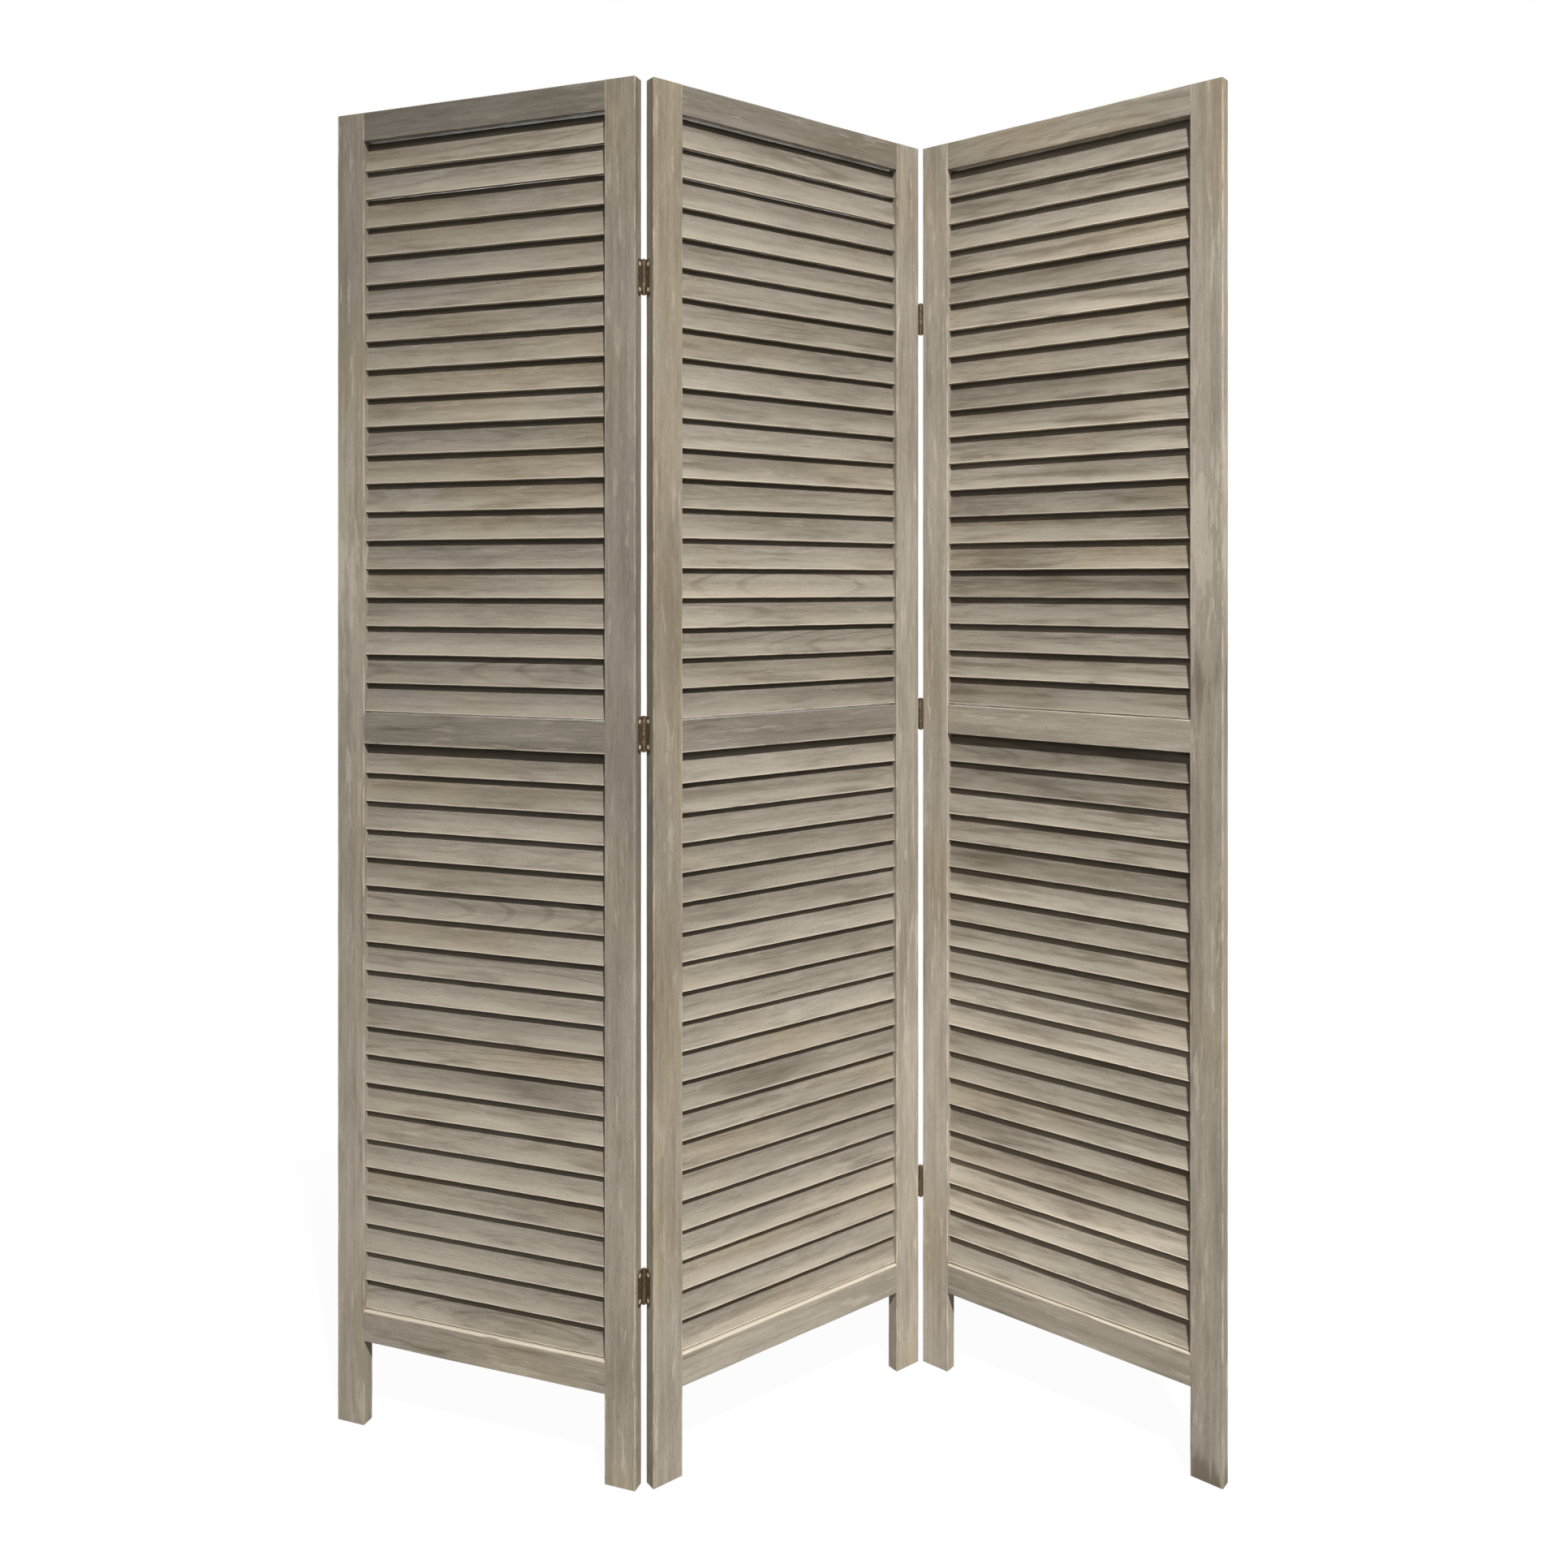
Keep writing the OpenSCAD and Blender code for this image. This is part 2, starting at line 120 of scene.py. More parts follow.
# %% [markdown]
# ## Three small helpers
# Colours are picked as they look on a screen, in hex, but the renderer works with linear
# light, so one function turns the one into the other. A second one adds a node with its
# settings and links in one call, which keeps the materials below short to read. Its inputs
# come in the node's own order, or by name, or by number where a name occurs twice: on a
# colour mix, 0 is the share and 6 and 7 are the two colours. A third one starts a material.

# %% Helpers


def linear(hex_colour):
    """Linear RGBA of an sRGB hex colour such as #A89D8C."""
    channels = []
    for i in (1, 3, 5):
        c = int(hex_colour[i:i + 2], 16) / 255
        channels.append(c / 12.92 if c <= 0.04045 else ((c + 0.055) / 1.055) ** 2.4)
    return (*channels, 1.0)


def add(tree, kind, inputs=(), **settings):
    """Adds a node. An input is a value, a hex colour, a socket, or a node for its output."""
    node = tree.nodes.new(kind)
    for name, value in settings.items():
        setattr(node, name, value)
    for key, value in inputs.items() if isinstance(inputs, dict) else enumerate(inputs):
        if isinstance(value, bpy.types.Node):
            value = next(socket for socket in value.outputs if socket.enabled)
        if isinstance(value, bpy.types.NodeSocket):
            tree.links.new(value, node.inputs[key])
        elif isinstance(value, str) and value.startswith("#"):
            node.inputs[key].default_value = linear(value)
        else:
            node.inputs[key].default_value = value
    return node


def new_material(name):
    """An empty material, its node tree and its output node."""
    material = bpy.data.materials.new(name)
    material.use_nodes = True
    material.node_tree.nodes.clear()
    output = add(material.node_tree, "ShaderNodeOutputMaterial")
    return material, material.node_tree, output


print("a mid grey in linear light:", [round(c, 3) for c in linear("#808080")])

# %% [markdown]
# ## Light and background
# The picture's background is plain white, and the shadows under the slats fall from one
# lamp, high up and a little to the right of the camera. It is a spot with a soft cone that
# aims low. So the tops, which are nearer to it, get the cone's dim rim, and stiles of 1.7 m
# come out evenly lit. A soft lamp behind lights the back for whoever walks round, level with
# the slats, so that it can't shine through between them. The world adds a faint light from
# all round. What camera, metal and gloss see of it is white of strength 1 all the same.

# %% World
AMBIENT_STRENGTH = 0.20

world = bpy.data.worlds.new("white_studio")
world.use_nodes = True
scene.world = world
sky = world.node_tree
sky.nodes.clear()
ray = add(sky, "ShaderNodeLightPath").outputs
seen = add(sky, "ShaderNodeMath", (ray["Is Camera Ray"], ray["Is Glossy Ray"]),
           operation="MAXIMUM")
seen = add(sky, "ShaderNodeMath", (seen, ray["Is Transmission Ray"]), operation="MAXIMUM")
strength = add(sky, "ShaderNodeMapRange", {"Value": seen, "To Min": AMBIENT_STRENGTH,
                                           "To Max": 1.0})
background = add(sky, "ShaderNodeBackground", {"Color": "#FFFFFF", "Strength": strength})
add(sky, "ShaderNodeOutputWorld", {"Surface": background})
scene.view_settings.view_transform = "Standard"
print("ambient strength:", AMBIENT_STRENGTH)

# %% Lamps
KEY_POWER = 2380
KEY_PLACE = (1.0, -3.37, 5.15)
KEY_AIM = (0.2, -0.5, -1.6)
KEY_CONE = math.radians(62)  # whole angle of the cone, all of it soft rim
KEY_SIZE = 0.1               # radius of the lamp, which sets how soft the shadows are
BACK_POWER = 140
BACK_PLACE = (-0.6, 4.0, 0.9)
BACK_AIM = (0.0, 0.0, 0.8)
BACK_SIZE = 1.6


def aimed_lamp(name, kind, power, place, aim):
    """A lamp that looks at a point."""
    data = bpy.data.lights.new(name, kind)
    data.energy = power
    lamp = bpy.data.objects.new(name, data)
    lamp.location = place
    lamp.rotation_euler = (Vector(aim) - Vector(place)).to_track_quat("-Z", "Y").to_euler()
    scene.collection.objects.link(lamp)
    return data


key = aimed_lamp("key_lamp", "SPOT", KEY_POWER, KEY_PLACE, KEY_AIM)
key.spot_size = KEY_CONE
key.spot_blend = 1.0
key.shadow_soft_size = KEY_SIZE
back = aimed_lamp("back_lamp", "AREA", BACK_POWER, BACK_PLACE, BACK_AIM)
back.size = BACK_SIZE
print("lamps:", key.name, key.energy, "W,", back.name, back.energy, "W")

# %% [markdown]
# ## Floor
# The screen stands on a plain white floor. The camera sees a mix of the lit floor, which
# carries a faint shadow of the screen, and plain white, which takes over farther out, so
# that the floor runs into the background without a horizon. For every other ray the floor
# is grey. A white one would light the slats from below and wash out their dark gaps.

# %% Floor
FLOOR_HALF = 6.0
FLOOR_PAINT = "#F2F1EE"      # matt white paint, as the camera sees it
FLOOR_BOUNCE = "#7E7B76"     # what the floor throws back on the wood
WHITE_SHARE_NEAR = 0.96      # share of plain white beside the feet
WHITE_NEAR = 0.75            # distance at which plain white starts to take over
WHITE_FAR = 1.9              # and at which it is alone
SMOOTH = {"interpolation_type": "SMOOTHSTEP"}  # lets a range start and end softly

floor_material, floor_tree, floor_output = new_material("matt_white_floor")
seen_directly = add(floor_tree, "ShaderNodeLightPath").outputs["Is Camera Ray"]
floor_colour = add(floor_tree, "ShaderNodeMix", {0: seen_directly, 6: FLOOR_BOUNCE,
                                                 7: FLOOR_PAINT}, data_type="RGBA")
floor_paint = add(floor_tree, "ShaderNodeBsdfDiffuse", {"Color": floor_colour})
floor_white = add(floor_tree, "ShaderNodeEmission", {"Color": "#FFFFFF", "Strength": 1.0})
floor_place = add(floor_tree, "ShaderNodeTexCoord").outputs["Object"]
floor_reach = add(floor_tree, "ShaderNodeVectorMath", (floor_place,), operation="LENGTH")
floor_share = add(floor_tree, "ShaderNodeMapRange",
                  (floor_reach, WHITE_NEAR, WHITE_FAR, WHITE_SHARE_NEAR, 1.0), **SMOOTH)
floor_share = add(floor_tree, "ShaderNodeMath", (seen_directly, floor_share),
                  operation="MULTIPLY")
floor_mix = add(floor_tree, "ShaderNodeMixShader", (floor_share, floor_paint, floor_white))
floor_tree.links.new(floor_mix.outputs[0], floor_output.inputs["Surface"])

floor_mesh = bpy.data.meshes.new("floor")
corners = [(x * FLOOR_HALF, y * FLOOR_HALF, 0) for x, y in ((-1, -1), (1, -1), (1, 1), (-1, 1))]
floor_mesh.from_pydata(corners, [], [(0, 1, 2, 3)])
floor_mesh.materials.append(floor_material)
floor = bpy.data.objects.new("floor", floor_mesh)
scene.collection.objects.link(floor)
print("floor:", 2 * FLOOR_HALF, "m across")

# %% [markdown]
# ## The wood: what the pattern hangs on
# Wood is not a picture on a surface. It is a solid block of rings and fibres that a saw cut
# through, so its pattern is worked out from a point's place in the board. Every board and
# slat therefore carries attributes. "board" is the point's place along, across and
# through it, measured from its middle in metres. "size" is half its length, width and
# thickness, which tells how near an arris a point is. "chance" is three random shares that
# differ from board to board, so that no two are cut from the same spot. "tone" is how light
# the wood is there: partly its own tone and partly painted light and shade. "wear" says which
# of the two edges is sanded through most: the one on the positive side across the board at 1,
# the other one at -1, or both alike at 0. "mark" is above 0 where the brush ran dry and below
# 0 where the wash ran together, as it did on the slats of a more mixed batch.

# %% Wood coordinates
GRAIN_JUMP = (20.0, 3.0, 5.0)  # metres that a board may be moved in its own wood


def board_coordinates(tree):
    """The sockets and nodes that every layer of the wood starts from."""
    place = add(tree, "ShaderNodeAttribute", attribute_name="board").outputs["Vector"]
    size = add(tree, "ShaderNodeAttribute", attribute_name="size").outputs["Vector"]
    chance = add(tree, "ShaderNodeAttribute", attribute_name="chance").outputs["Vector"]
    tone = add(tree, "ShaderNodeAttribute", attribute_name="tone").outputs["Fac"]
    wear = add(tree, "ShaderNodeAttribute", attribute_name="wear").outputs["Fac"]
    mark = add(tree, "ShaderNodeAttribute", attribute_name="mark").outputs["Fac"]
    # A board is moved along its own grain, to look different from the next.
    jump = add(tree, "ShaderNodeVectorMath", (chance, GRAIN_JUMP), operation="MULTIPLY")
    spot = add(tree, "ShaderNodeVectorMath", (place, jump), operation="ADD")
    share = add(tree, "ShaderNodeVectorMath", (place, size), operation="DIVIDE")
    share = add(tree, "ShaderNodeSeparateXYZ", (share,)).outputs
    inward = add(tree, "ShaderNodeVectorMath", (place,), operation="ABSOLUTE")
    inward = add(tree, "ShaderNodeVectorMath", (size, inward), operation="SUBTRACT")
    inward = add(tree, "ShaderNodeSeparateXYZ", (inward,)).outputs
    luck = add(tree, "ShaderNodeSeparateXYZ", (chance,)).outputs
    return {
        "place": place, "chance": chance, "tone": tone, "mark": mark, "spot": spot,
        "through": add(tree, "ShaderNodeSeparateXYZ", (place,)).outputs["Z"],
        "rubbed": add(tree, "ShaderNodeMath", (wear,), operation="ABSOLUTE"),
        "worn_side": add(tree, "ShaderNodeMath", (share["Y"], wear), operation="MULTIPLY"),
        "from_edge": inward["Y"], "from_face": inward["Z"],
        "ring_luck": luck["X"], "hue_luck": luck["Y"], "tone_luck": luck["Z"],
    }


def stretched(tree, spot, length, width, detail=2.0, roughness=0.5, seed=0.0):
    """Noise in spots that are drawn out along the grain. Length and width in millimetres."""
    scale = (1000 / length, 1000 / width, 1000 / width)
    spot = add(tree, "ShaderNodeVectorMath", (spot, scale), operation="MULTIPLY")
    spot = add(tree, "ShaderNodeVectorMath", (spot, (seed, seed, seed)), operation="ADD")
    return add(tree, "ShaderNodeTexNoise", {"Vector": spot, "Scale": 1.0, "Detail": detail,
                                            "Roughness": roughness})


print("wood layers read the attributes board, size, chance, tone, wear and mark")

# %% [markdown]
# ## Growth rings
# The rings are cylinders about the heart of the tree. Where a board's face runs nearly
# along them, they show as long parallel lines that close into pointed arches, the cathedral
# figure. The heart is never quite straight, so here a slow noise lets it wander in and out
# beside the board. The arches come of that by themselves. Boards sawn square to the rings
# show no arches, so only part of the boards get the figure in full.

# %% Growth rings
RING_SPACING = 0.0065        # growth ring of a fast-grown light hardwood, 5 to 8 mm
RING_WOBBLE = 2.2            # how far a ring strays from a true circle
WOBBLE_DRAWN = (0.04, 1.0, 1.0)      # which is drawn out 25 times along the grain
HEART_PLACE = (0.0, -0.015, 0.02)    # from a board's middle to the nearest heart
HEART_SPREAD = (0.7, 0.03, 0.03)     # how far the hearts of the boards differ
HEART_WANDER = (0.0, 0.051, 0.085)   # how far the heart drifts beside a board
HEART_LENGTH = 0.9           # length of one such drift
WAVE_PERIOD = math.pi / 10   # the ring texture's own period at scale 1
LATE_WOOD_FROM = 0.80        # where in a ring its thin late wood starts
EARLY_WOOD = 0.65            # lightness of the broad early wood of a ring
LATE_WOOD = -0.4             # and of its late wood
FIGURED = (0.6, 0.95)        # luck that brings a board some of the figure, and all of it


def growth_rings(tree, wood):
    """Half where no figure shows, and otherwise low on the thin line of each late wood."""
    along = add(tree, "ShaderNodeSeparateXYZ", (wood["spot"],)).outputs["X"]
    drift = add(tree, "ShaderNodeTexNoise", {"W": along, "Scale": 1 / HEART_LENGTH,
                                             "Detail": 1.5}, noise_dimensions="1D")
    drift = add(tree, "ShaderNodeVectorMath", (drift.outputs["Color"], (0.5, 0.5, 0.5)),
                operation="SUBTRACT")
    drift = add(tree, "ShaderNodeVectorMath", (drift, HEART_WANDER), operation="MULTIPLY")
    flat = add(tree, "ShaderNodeVectorMath", (wood["place"], WOBBLE_DRAWN),
               operation="MULTIPLY")
    heart = add(tree, "ShaderNodeVectorMath", (wood["chance"], HEART_SPREAD),
                operation="MULTIPLY")
    heart = add(tree, "ShaderNodeVectorMath", (heart, HEART_PLACE), operation="ADD")
    path = add(tree, "ShaderNodeVectorMath", (flat, heart), operation="ADD")
    path = add(tree, "ShaderNodeVectorMath", (path, drift), operation="ADD")
    rings = add(tree, "ShaderNodeTexWave",
                {"Vector": path, "Scale": WAVE_PERIOD / RING_SPACING,
                 "Distortion": RING_WOBBLE, "Detail": 2.0, "Detail Scale": 0.9,
                 "Detail Roughness": 0.55},
                wave_type="RINGS", rings_direction="X", wave_profile="SIN").outputs["Fac"]
    late_wood = add(tree, "ShaderNodeMapRange",
                    (rings, LATE_WOOD_FROM, 1.0, EARLY_WOOD, LATE_WOOD), **SMOOTH)
    figured = add(tree, "ShaderNodeMapRange", (wood["ring_luck"], *FIGURED), **SMOOTH)
    return add(tree, "ShaderNodeMix", {0: figured, 2: 0.5, 3: late_wood})


print("ring spacing:", RING_SPACING * 1000, "mm")

# %% [markdown]
# ## Fibres, blotches and marks
# The fibres are thin streaks along the grain; real ones are a third of a millimetre wide and
# are drawn at 1.7 mm, or the picture could not show them. The grey wash was put on thinly
# and wiped, so it lies in soft blotches about 12 cm long. The brush left pale patches with
# ragged ends where it ran dry, and dark smears where the wash stood thick. The pores are
# short dark ticks. Each layer is a noise of its own with its own length and width in
# millimetres.

# %% Figure of the wood
FIBRE = (26, 1.7)            # fine grain, drawn five times as wide as real fibres
STREAK = (330, 7)            # soft bands of fibres
BLOTCH = (120, 20)           # soft blotches of the wiped wash
CLOUD = (320, 130)           # slow change of tone over a board
SMEAR = (150, 13)            # smears where the wash stood thick
PATCH = (90, 11)             # ragged pale patches where the brush ran dry
PORE = (4, 1.2)              # open pores, drawn four times as wide as real ones
MARK_SHIFT = 0.25            # how far a full mark lifts the patches over the smears
# The noise of these layers is cut off below the first value and full above the second.
CUT_OFF = {"pores": (0.60, 0.72), "smears": (0.55, 0.72), "patches": (0.57, 0.66)}


def wood_layers(tree, wood):
    """The layers of the figure, each about 0 to 1."""
    spot = wood["spot"]
    layers = {
        "rings": growth_rings(tree, wood),
        "fibres": stretched(tree, spot, *FIBRE, detail=3.0, roughness=0.7),
        "streaks": stretched(tree, spot, *STREAK, seed=11.0),
        "blotches": stretched(tree, spot, *BLOTCH, detail=3.0, roughness=0.55, seed=29.0),
        "clouds": stretched(tree, spot, *CLOUD, detail=1.0, seed=23.0),
        "pores": stretched(tree, spot, *PORE, detail=1.0, seed=31.0),
        "smears": stretched(tree, spot, *SMEAR, detail=4.0, roughness=0.62, seed=57.0),
        "patches": stretched(tree, spot, *PATCH, detail=4.0, roughness=0.68, seed=71.0),
    }
    for name, shift in (("smears", -MARK_SHIFT), ("patches", MARK_SHIFT)):
        layers[name] = add(tree, "ShaderNodeMath", (wood["mark"], shift, layers[name]),
                           operation="MULTIPLY_ADD")
    for name, cut_off in CUT_OFF.items():
        layers[name] = add(tree, "ShaderNodeMapRange", (layers[name], *cut_off), **SMOOTH)
    return layers


print("fibres", FIBRE, "blotches", BLOTCH, "smears", SMEAR, "patches", PATCH, "in mm")

# %% [markdown]
# ## Wear
# The arrises were sanded after the wash, and the pale bare wood shows there in broken lines.
# Hands and dust cloths rub one edge of most rails and the lower edge of every slat more, so
# there the line is wider and hardly broken, and the narrow face beside it is bare too.

# %% Worn arrises
LINE_FULL = 0.0006           # the line is full up to here from an arris
LINE_END = 0.0020            # and has faded out here
BREAK = (50, 9)              # length and width in mm of a stretch of line that was missed
BREAK_CUT_OFF = (0.44, 0.58)  # its noise, where the line is gone and where it is whole
BREAK_LESS = 0.14            # lifts the line over its breaks at the edge that is worn most
RIM_DEPTH = (0.0002, 0.0008)  # from a narrow face, where its bareness ends
RIM_SIDE = (0.5, 0.9)        # share of the way to the worn edge, where it starts


def worn_arrises(tree, wood, spread):
    """1 where the wash is sanded off an arris. The line is wider by spread if worn most."""
    near = add(tree, "ShaderNodeMath", (wood["from_edge"], wood["from_face"]), operation="ADD")
    near = add(tree, "ShaderNodeMath", (wood["worn_side"], -spread, near),
               operation="MULTIPLY_ADD")
    line = add(tree, "ShaderNodeMapRange", (near, LINE_FULL, LINE_END, 1.0, 0.0), **SMOOTH)
    broken = stretched(tree, wood["spot"], *BREAK, detail=3.0, roughness=0.65, seed=83.0)
    broken = add(tree, "ShaderNodeMath", (wood["worn_side"], BREAK_LESS, broken),
                 operation="MULTIPLY_ADD")
    broken = add(tree, "ShaderNodeMapRange", (broken, *BREAK_CUT_OFF), **SMOOTH)
    return add(tree, "ShaderNodeMath", (line, broken), operation="MULTIPLY")


def bare_faces(tree, wood):
    """1 on the narrow face of the edge that is worn most."""
    rim = add(tree, "ShaderNodeMapRange", (wood["from_edge"], *RIM_DEPTH, 1.0, 0.0), **SMOOTH)
    side = add(tree, "ShaderNodeMapRange", (wood["worn_side"], *RIM_SIDE), **SMOOTH)
    return add(tree, "ShaderNodeMath", (rim, side), operation="MULTIPLY")


print("a worn line ends", LINE_END * 1000, "mm from its arris")

# %% [markdown]
# ## Grey-washed wood
# The layers add up to one share, the figure, and a ramp turns it into the greys and beiges
# of the washed wood. Here and there the ochre of the bare wood comes through, and each board
# is a little lighter or darker than its neighbour. Marks, wear and painted shade are laid over
# that like coats, one after the other, each with its own colour and the share that says where
# it lies. The wash is matt, and a shallow bump follows fibres and pores. The frame and the
# slats get a finish each. The slats' lower halves are paler, and the crease under the next
# slat is painted dark, as painted shade.

# %% Colours of the wash
WOOD_RAMP = ((0.0, "#766D60"), (0.38, "#958C7E"), (0.58, "#A69D8F"), (1.0, "#C0B7A7"))
PLAIN_WASH = "#FAFAFA"
OCHRE_WASH = "#FCF7EC"
HUE_DRIFT = (260, 120)       # length and width in mm of a stretch of ochre
HUE_OF_BOARD = 0.25          # how far a board's own luck lifts the drift
HUE_CUT_OFF = (0.62, 0.90)   # the drift, where the ochre starts and where it is full


def summed(tree, layers, shares):
    """The layers about their middle, each times its share, added to one half."""
    total = 0.5 - 0.5 * sum(shares.values())
    for name, share in shares.items():
        total = add(tree, "ShaderNodeMath", (layers[name], share, total),
                    operation="MULTIPLY_ADD")
    return total


def washed_figure(tree, wood, layers, finish):
    """The colour of the wash that the figure gives, with its hint of ochre."""
    figure = summed(tree, layers, finish["figure"])
    # On a slat the shade slope paints shade: the figure darker towards its upper edge under the
    # next slat, and paler towards its lower edge.
    figure = add(tree, "ShaderNodeMath", (wood["worn_side"], finish["shade_slope"], figure),
                 operation="MULTIPLY_ADD")
    ramp = add(tree, "ShaderNodeValToRGB", (figure,))
    while len(ramp.color_ramp.elements) < len(WOOD_RAMP):
        ramp.color_ramp.elements.new(0.5)
    for stop, (position, colour) in zip(ramp.color_ramp.elements, WOOD_RAMP):
        stop.position = position
        stop.color = linear(colour)
    drift = stretched(tree, wood["spot"], *HUE_DRIFT, detail=1.0, seed=41.0)
    hue = add(tree, "ShaderNodeMath", (wood["hue_luck"], HUE_OF_BOARD, drift),
              operation="MULTIPLY_ADD")
    hue = add(tree, "ShaderNodeMapRange", (hue, *HUE_CUT_OFF), **SMOOTH)
    tint = add(tree, "ShaderNodeMix", {0: hue, 6: PLAIN_WASH, 7: OCHRE_WASH},
               data_type="RGBA")
    return add(tree, "ShaderNodeMix", {0: 1.0, 6: ramp, 7: tint}, data_type="RGBA",
               blend_type="MULTIPLY")


print("the wash runs from", WOOD_RAMP[0][1], "to", WOOD_RAMP[-1][1])

# %% Coats of marks and wear
SMEAR_COLOUR = "#6D6252"
PATCH_COLOUR = "#C6BCAB"
PORE_COLOUR = "#5E5548"
PALE_LOWER_COLOUR = "#CDC2AE"
CREASE_SHADE_COLOUR = "#3C3732"    # painted shade where a slat slips under the next
BARE_COLOUR = "#E0D4C0"
BARE_FACE_COLOUR = "#B4A998"  # a bare narrow face has kept some of the wash in its pores
SMEARS_OF_MARK = 0.5         # what a mark at -1 adds to the share of the smears
PORE_SHARE = 0.20
PALE_LOWER_SIDE = (-0.2, 1.0)     # across a slat, from where the paler lower part starts to where it is full
CREASE_SHADE_SIDE = (-1.0, -0.5)   # across a slat, from the full painted crease shade to its end
CREASE_SHADE_FRONT = (-0.0002, 0.0002)  # through a slat, since the painted crease shade lies only on its front
THIN_SPOTS = (0.3, 0.6)      # blotches where a coat is thin, and where it is full
LINE_SHARES = (0.4, 0.85)    # share of a worn line on a stile, and on a rubbed board
BARE_SHARES = (0.5, 0.9)     # share of the bareness where it is thin, and where it is full


def coats(tree, wood, layers, finish):
    """The coats in the order in which they lie: where, how strongly and in what colour."""
    # A board with a rubbed edge lies level, and twice as much stays in its smears.
    held = add(tree, "ShaderNodeMapRange",
               (wood["rubbed"], 0.0, 1.0, finish["smears"] / 2, finish["smears"]), **SMOOTH)
    marked = add(tree, "ShaderNodeMapRange", (wood["mark"], -1.0, 0.0, SMEARS_OF_MARK, 0.0),
                 **SMOOTH)
    held = add(tree, "ShaderNodeMath", (held, marked), operation="ADD")
    # the slats are paler towards their lower edge
    paler_below = add(tree, "ShaderNodeMapRange",
                (wood["worn_side"], *PALE_LOWER_SIDE, 0.0, finish["paler_below"]), **SMOOTH)
    uneven = add(tree, "ShaderNodeMapRange", (layers["blotches"], *THIN_SPOTS), **SMOOTH)
    # painted shade in the crease under the next slat, on the slat's front only
    crease_shade = add(tree, "ShaderNodeMapRange",
                 (wood["worn_side"], *CREASE_SHADE_SIDE, finish["crease_shade"], 0.0), **SMOOTH)
    front = add(tree, "ShaderNodeMapRange", (wood["through"], *CREASE_SHADE_FRONT, 1.0, 0.0),
                **SMOOTH)
    lined = add(tree, "ShaderNodeMapRange", (wood["rubbed"], 0.0, 1.0, *LINE_SHARES),
                **SMOOTH)
    bared = add(tree, "ShaderNodeMapRange",
                (layers["blotches"], *THIN_SPOTS, *BARE_SHARES), **SMOOTH)
    return (
        (layers["smears"], held, SMEAR_COLOUR),
        (layers["patches"], finish["patches"], PATCH_COLOUR),
        (layers["pores"], PORE_SHARE, PORE_COLOUR),
        (paler_below, uneven, PALE_LOWER_COLOUR),
        (crease_shade, front, CREASE_SHADE_COLOUR),
        (worn_arrises(tree, wood, finish["spread"]), lined, BARE_COLOUR),
        (bare_faces(tree, wood), bared, BARE_FACE_COLOUR),
    )


def washed_colour(tree, wood, layers, finish):
    """The colour of the washed wood with its marks and wear."""
    colour = washed_figure(tree, wood, layers, finish)
    for where, strength, coat in coats(tree, wood, layers, finish):
        share = add(tree, "ShaderNodeMath", (where, strength), operation="MULTIPLY")
        colour = add(tree, "ShaderNodeMix", {0: share, 6: colour, 7: coat}, data_type="RGBA")
    return colour


print("smears", SMEAR_COLOUR, "and patches", PATCH_COLOUR, "lie over the wash")

# %% Wood material
BOARD_CONTRAST = 0.18        # from the darkest board to the lightest
WASH_ROUGHNESS = (0.55, 0.70)
WASH_BLOTCHES = (0.2, 0.8)   # blotches where the wash is smoothest, and where it is roughest
PORE_DEPTH = 0.0003          # relief of fibres and pores
WOOD_IOR = 1.45
WASH_SHEEN = 0.12            # specular level: the wash is chalky and hardly shines


def washed_wood(name, finish):
    """A matt grey-washed wood."""
    material, tree, output = new_material(name)
    wood = board_coordinates(tree)
    layers = wood_layers(tree, wood)
    luck = add(tree, "ShaderNodeMapRange", {"Value": wood["tone_luck"],
                                            "To Min": 1 - BOARD_CONTRAST / 2,
                                            "To Max": 1 + BOARD_CONTRAST / 2})
    tone = add(tree, "ShaderNodeMath", (luck, wood["tone"]), operation="MULTIPLY")
    colour = washed_colour(tree, wood, layers, finish)
    colour = add(tree, "ShaderNodeHueSaturation", {"Value": tone, "Color": colour})
    relief = add(tree, "ShaderNodeMath", (layers["fibres"], layers["pores"]),
                 operation="SUBTRACT")
    bump = add(tree, "ShaderNodeBump", {"Height": relief, "Strength": 0.5,
                                        "Distance": PORE_DEPTH})
    roughness = add(tree, "ShaderNodeMapRange",
                    (layers["blotches"], *WASH_BLOTCHES, *WASH_ROUGHNESS), **SMOOTH)
    surface = add(tree, "ShaderNodeBsdfPrincipled",
                  {"Base Color": colour, "Normal": bump, "Roughness": roughness,
                   "IOR": WOOD_IOR, "Specular IOR Level": WASH_SHEEN})
    tree.links.new(surface.outputs[0], output.inputs["Surface"])
    print(name, "has", len(tree.nodes), "nodes")
    return material


print("boards differ in tone by", BOARD_CONTRAST)

# %% [markdown]
# ## The two finishes
# A finish says how much each layer of the figure counts. The shade slope paints shade on the
# figure: darker away from the worn edge, which on a slat is its upper edge under the next slat,
# and paler towards it. Smears, patches, the paler lower part and the crease, which is painted
# shade, are the shares of those coats, and the spread is how much wider a worn line is at the
# edge that is worn most.

# %% The two finishes
frame_wood = washed_wood("brushed_grey_wash_on_light_hardwood", {
    "figure": {"rings": 0.10, "fibres": 0.60, "streaks": 0.45, "blotches": 0.55,
               "clouds": 0.45},
    "shade_slope": 0.0, "smears": 0.70, "patches": 0.45, "paler_below": 0.0, "crease_shade": 0.0,
    "spread": 0.0007,
})
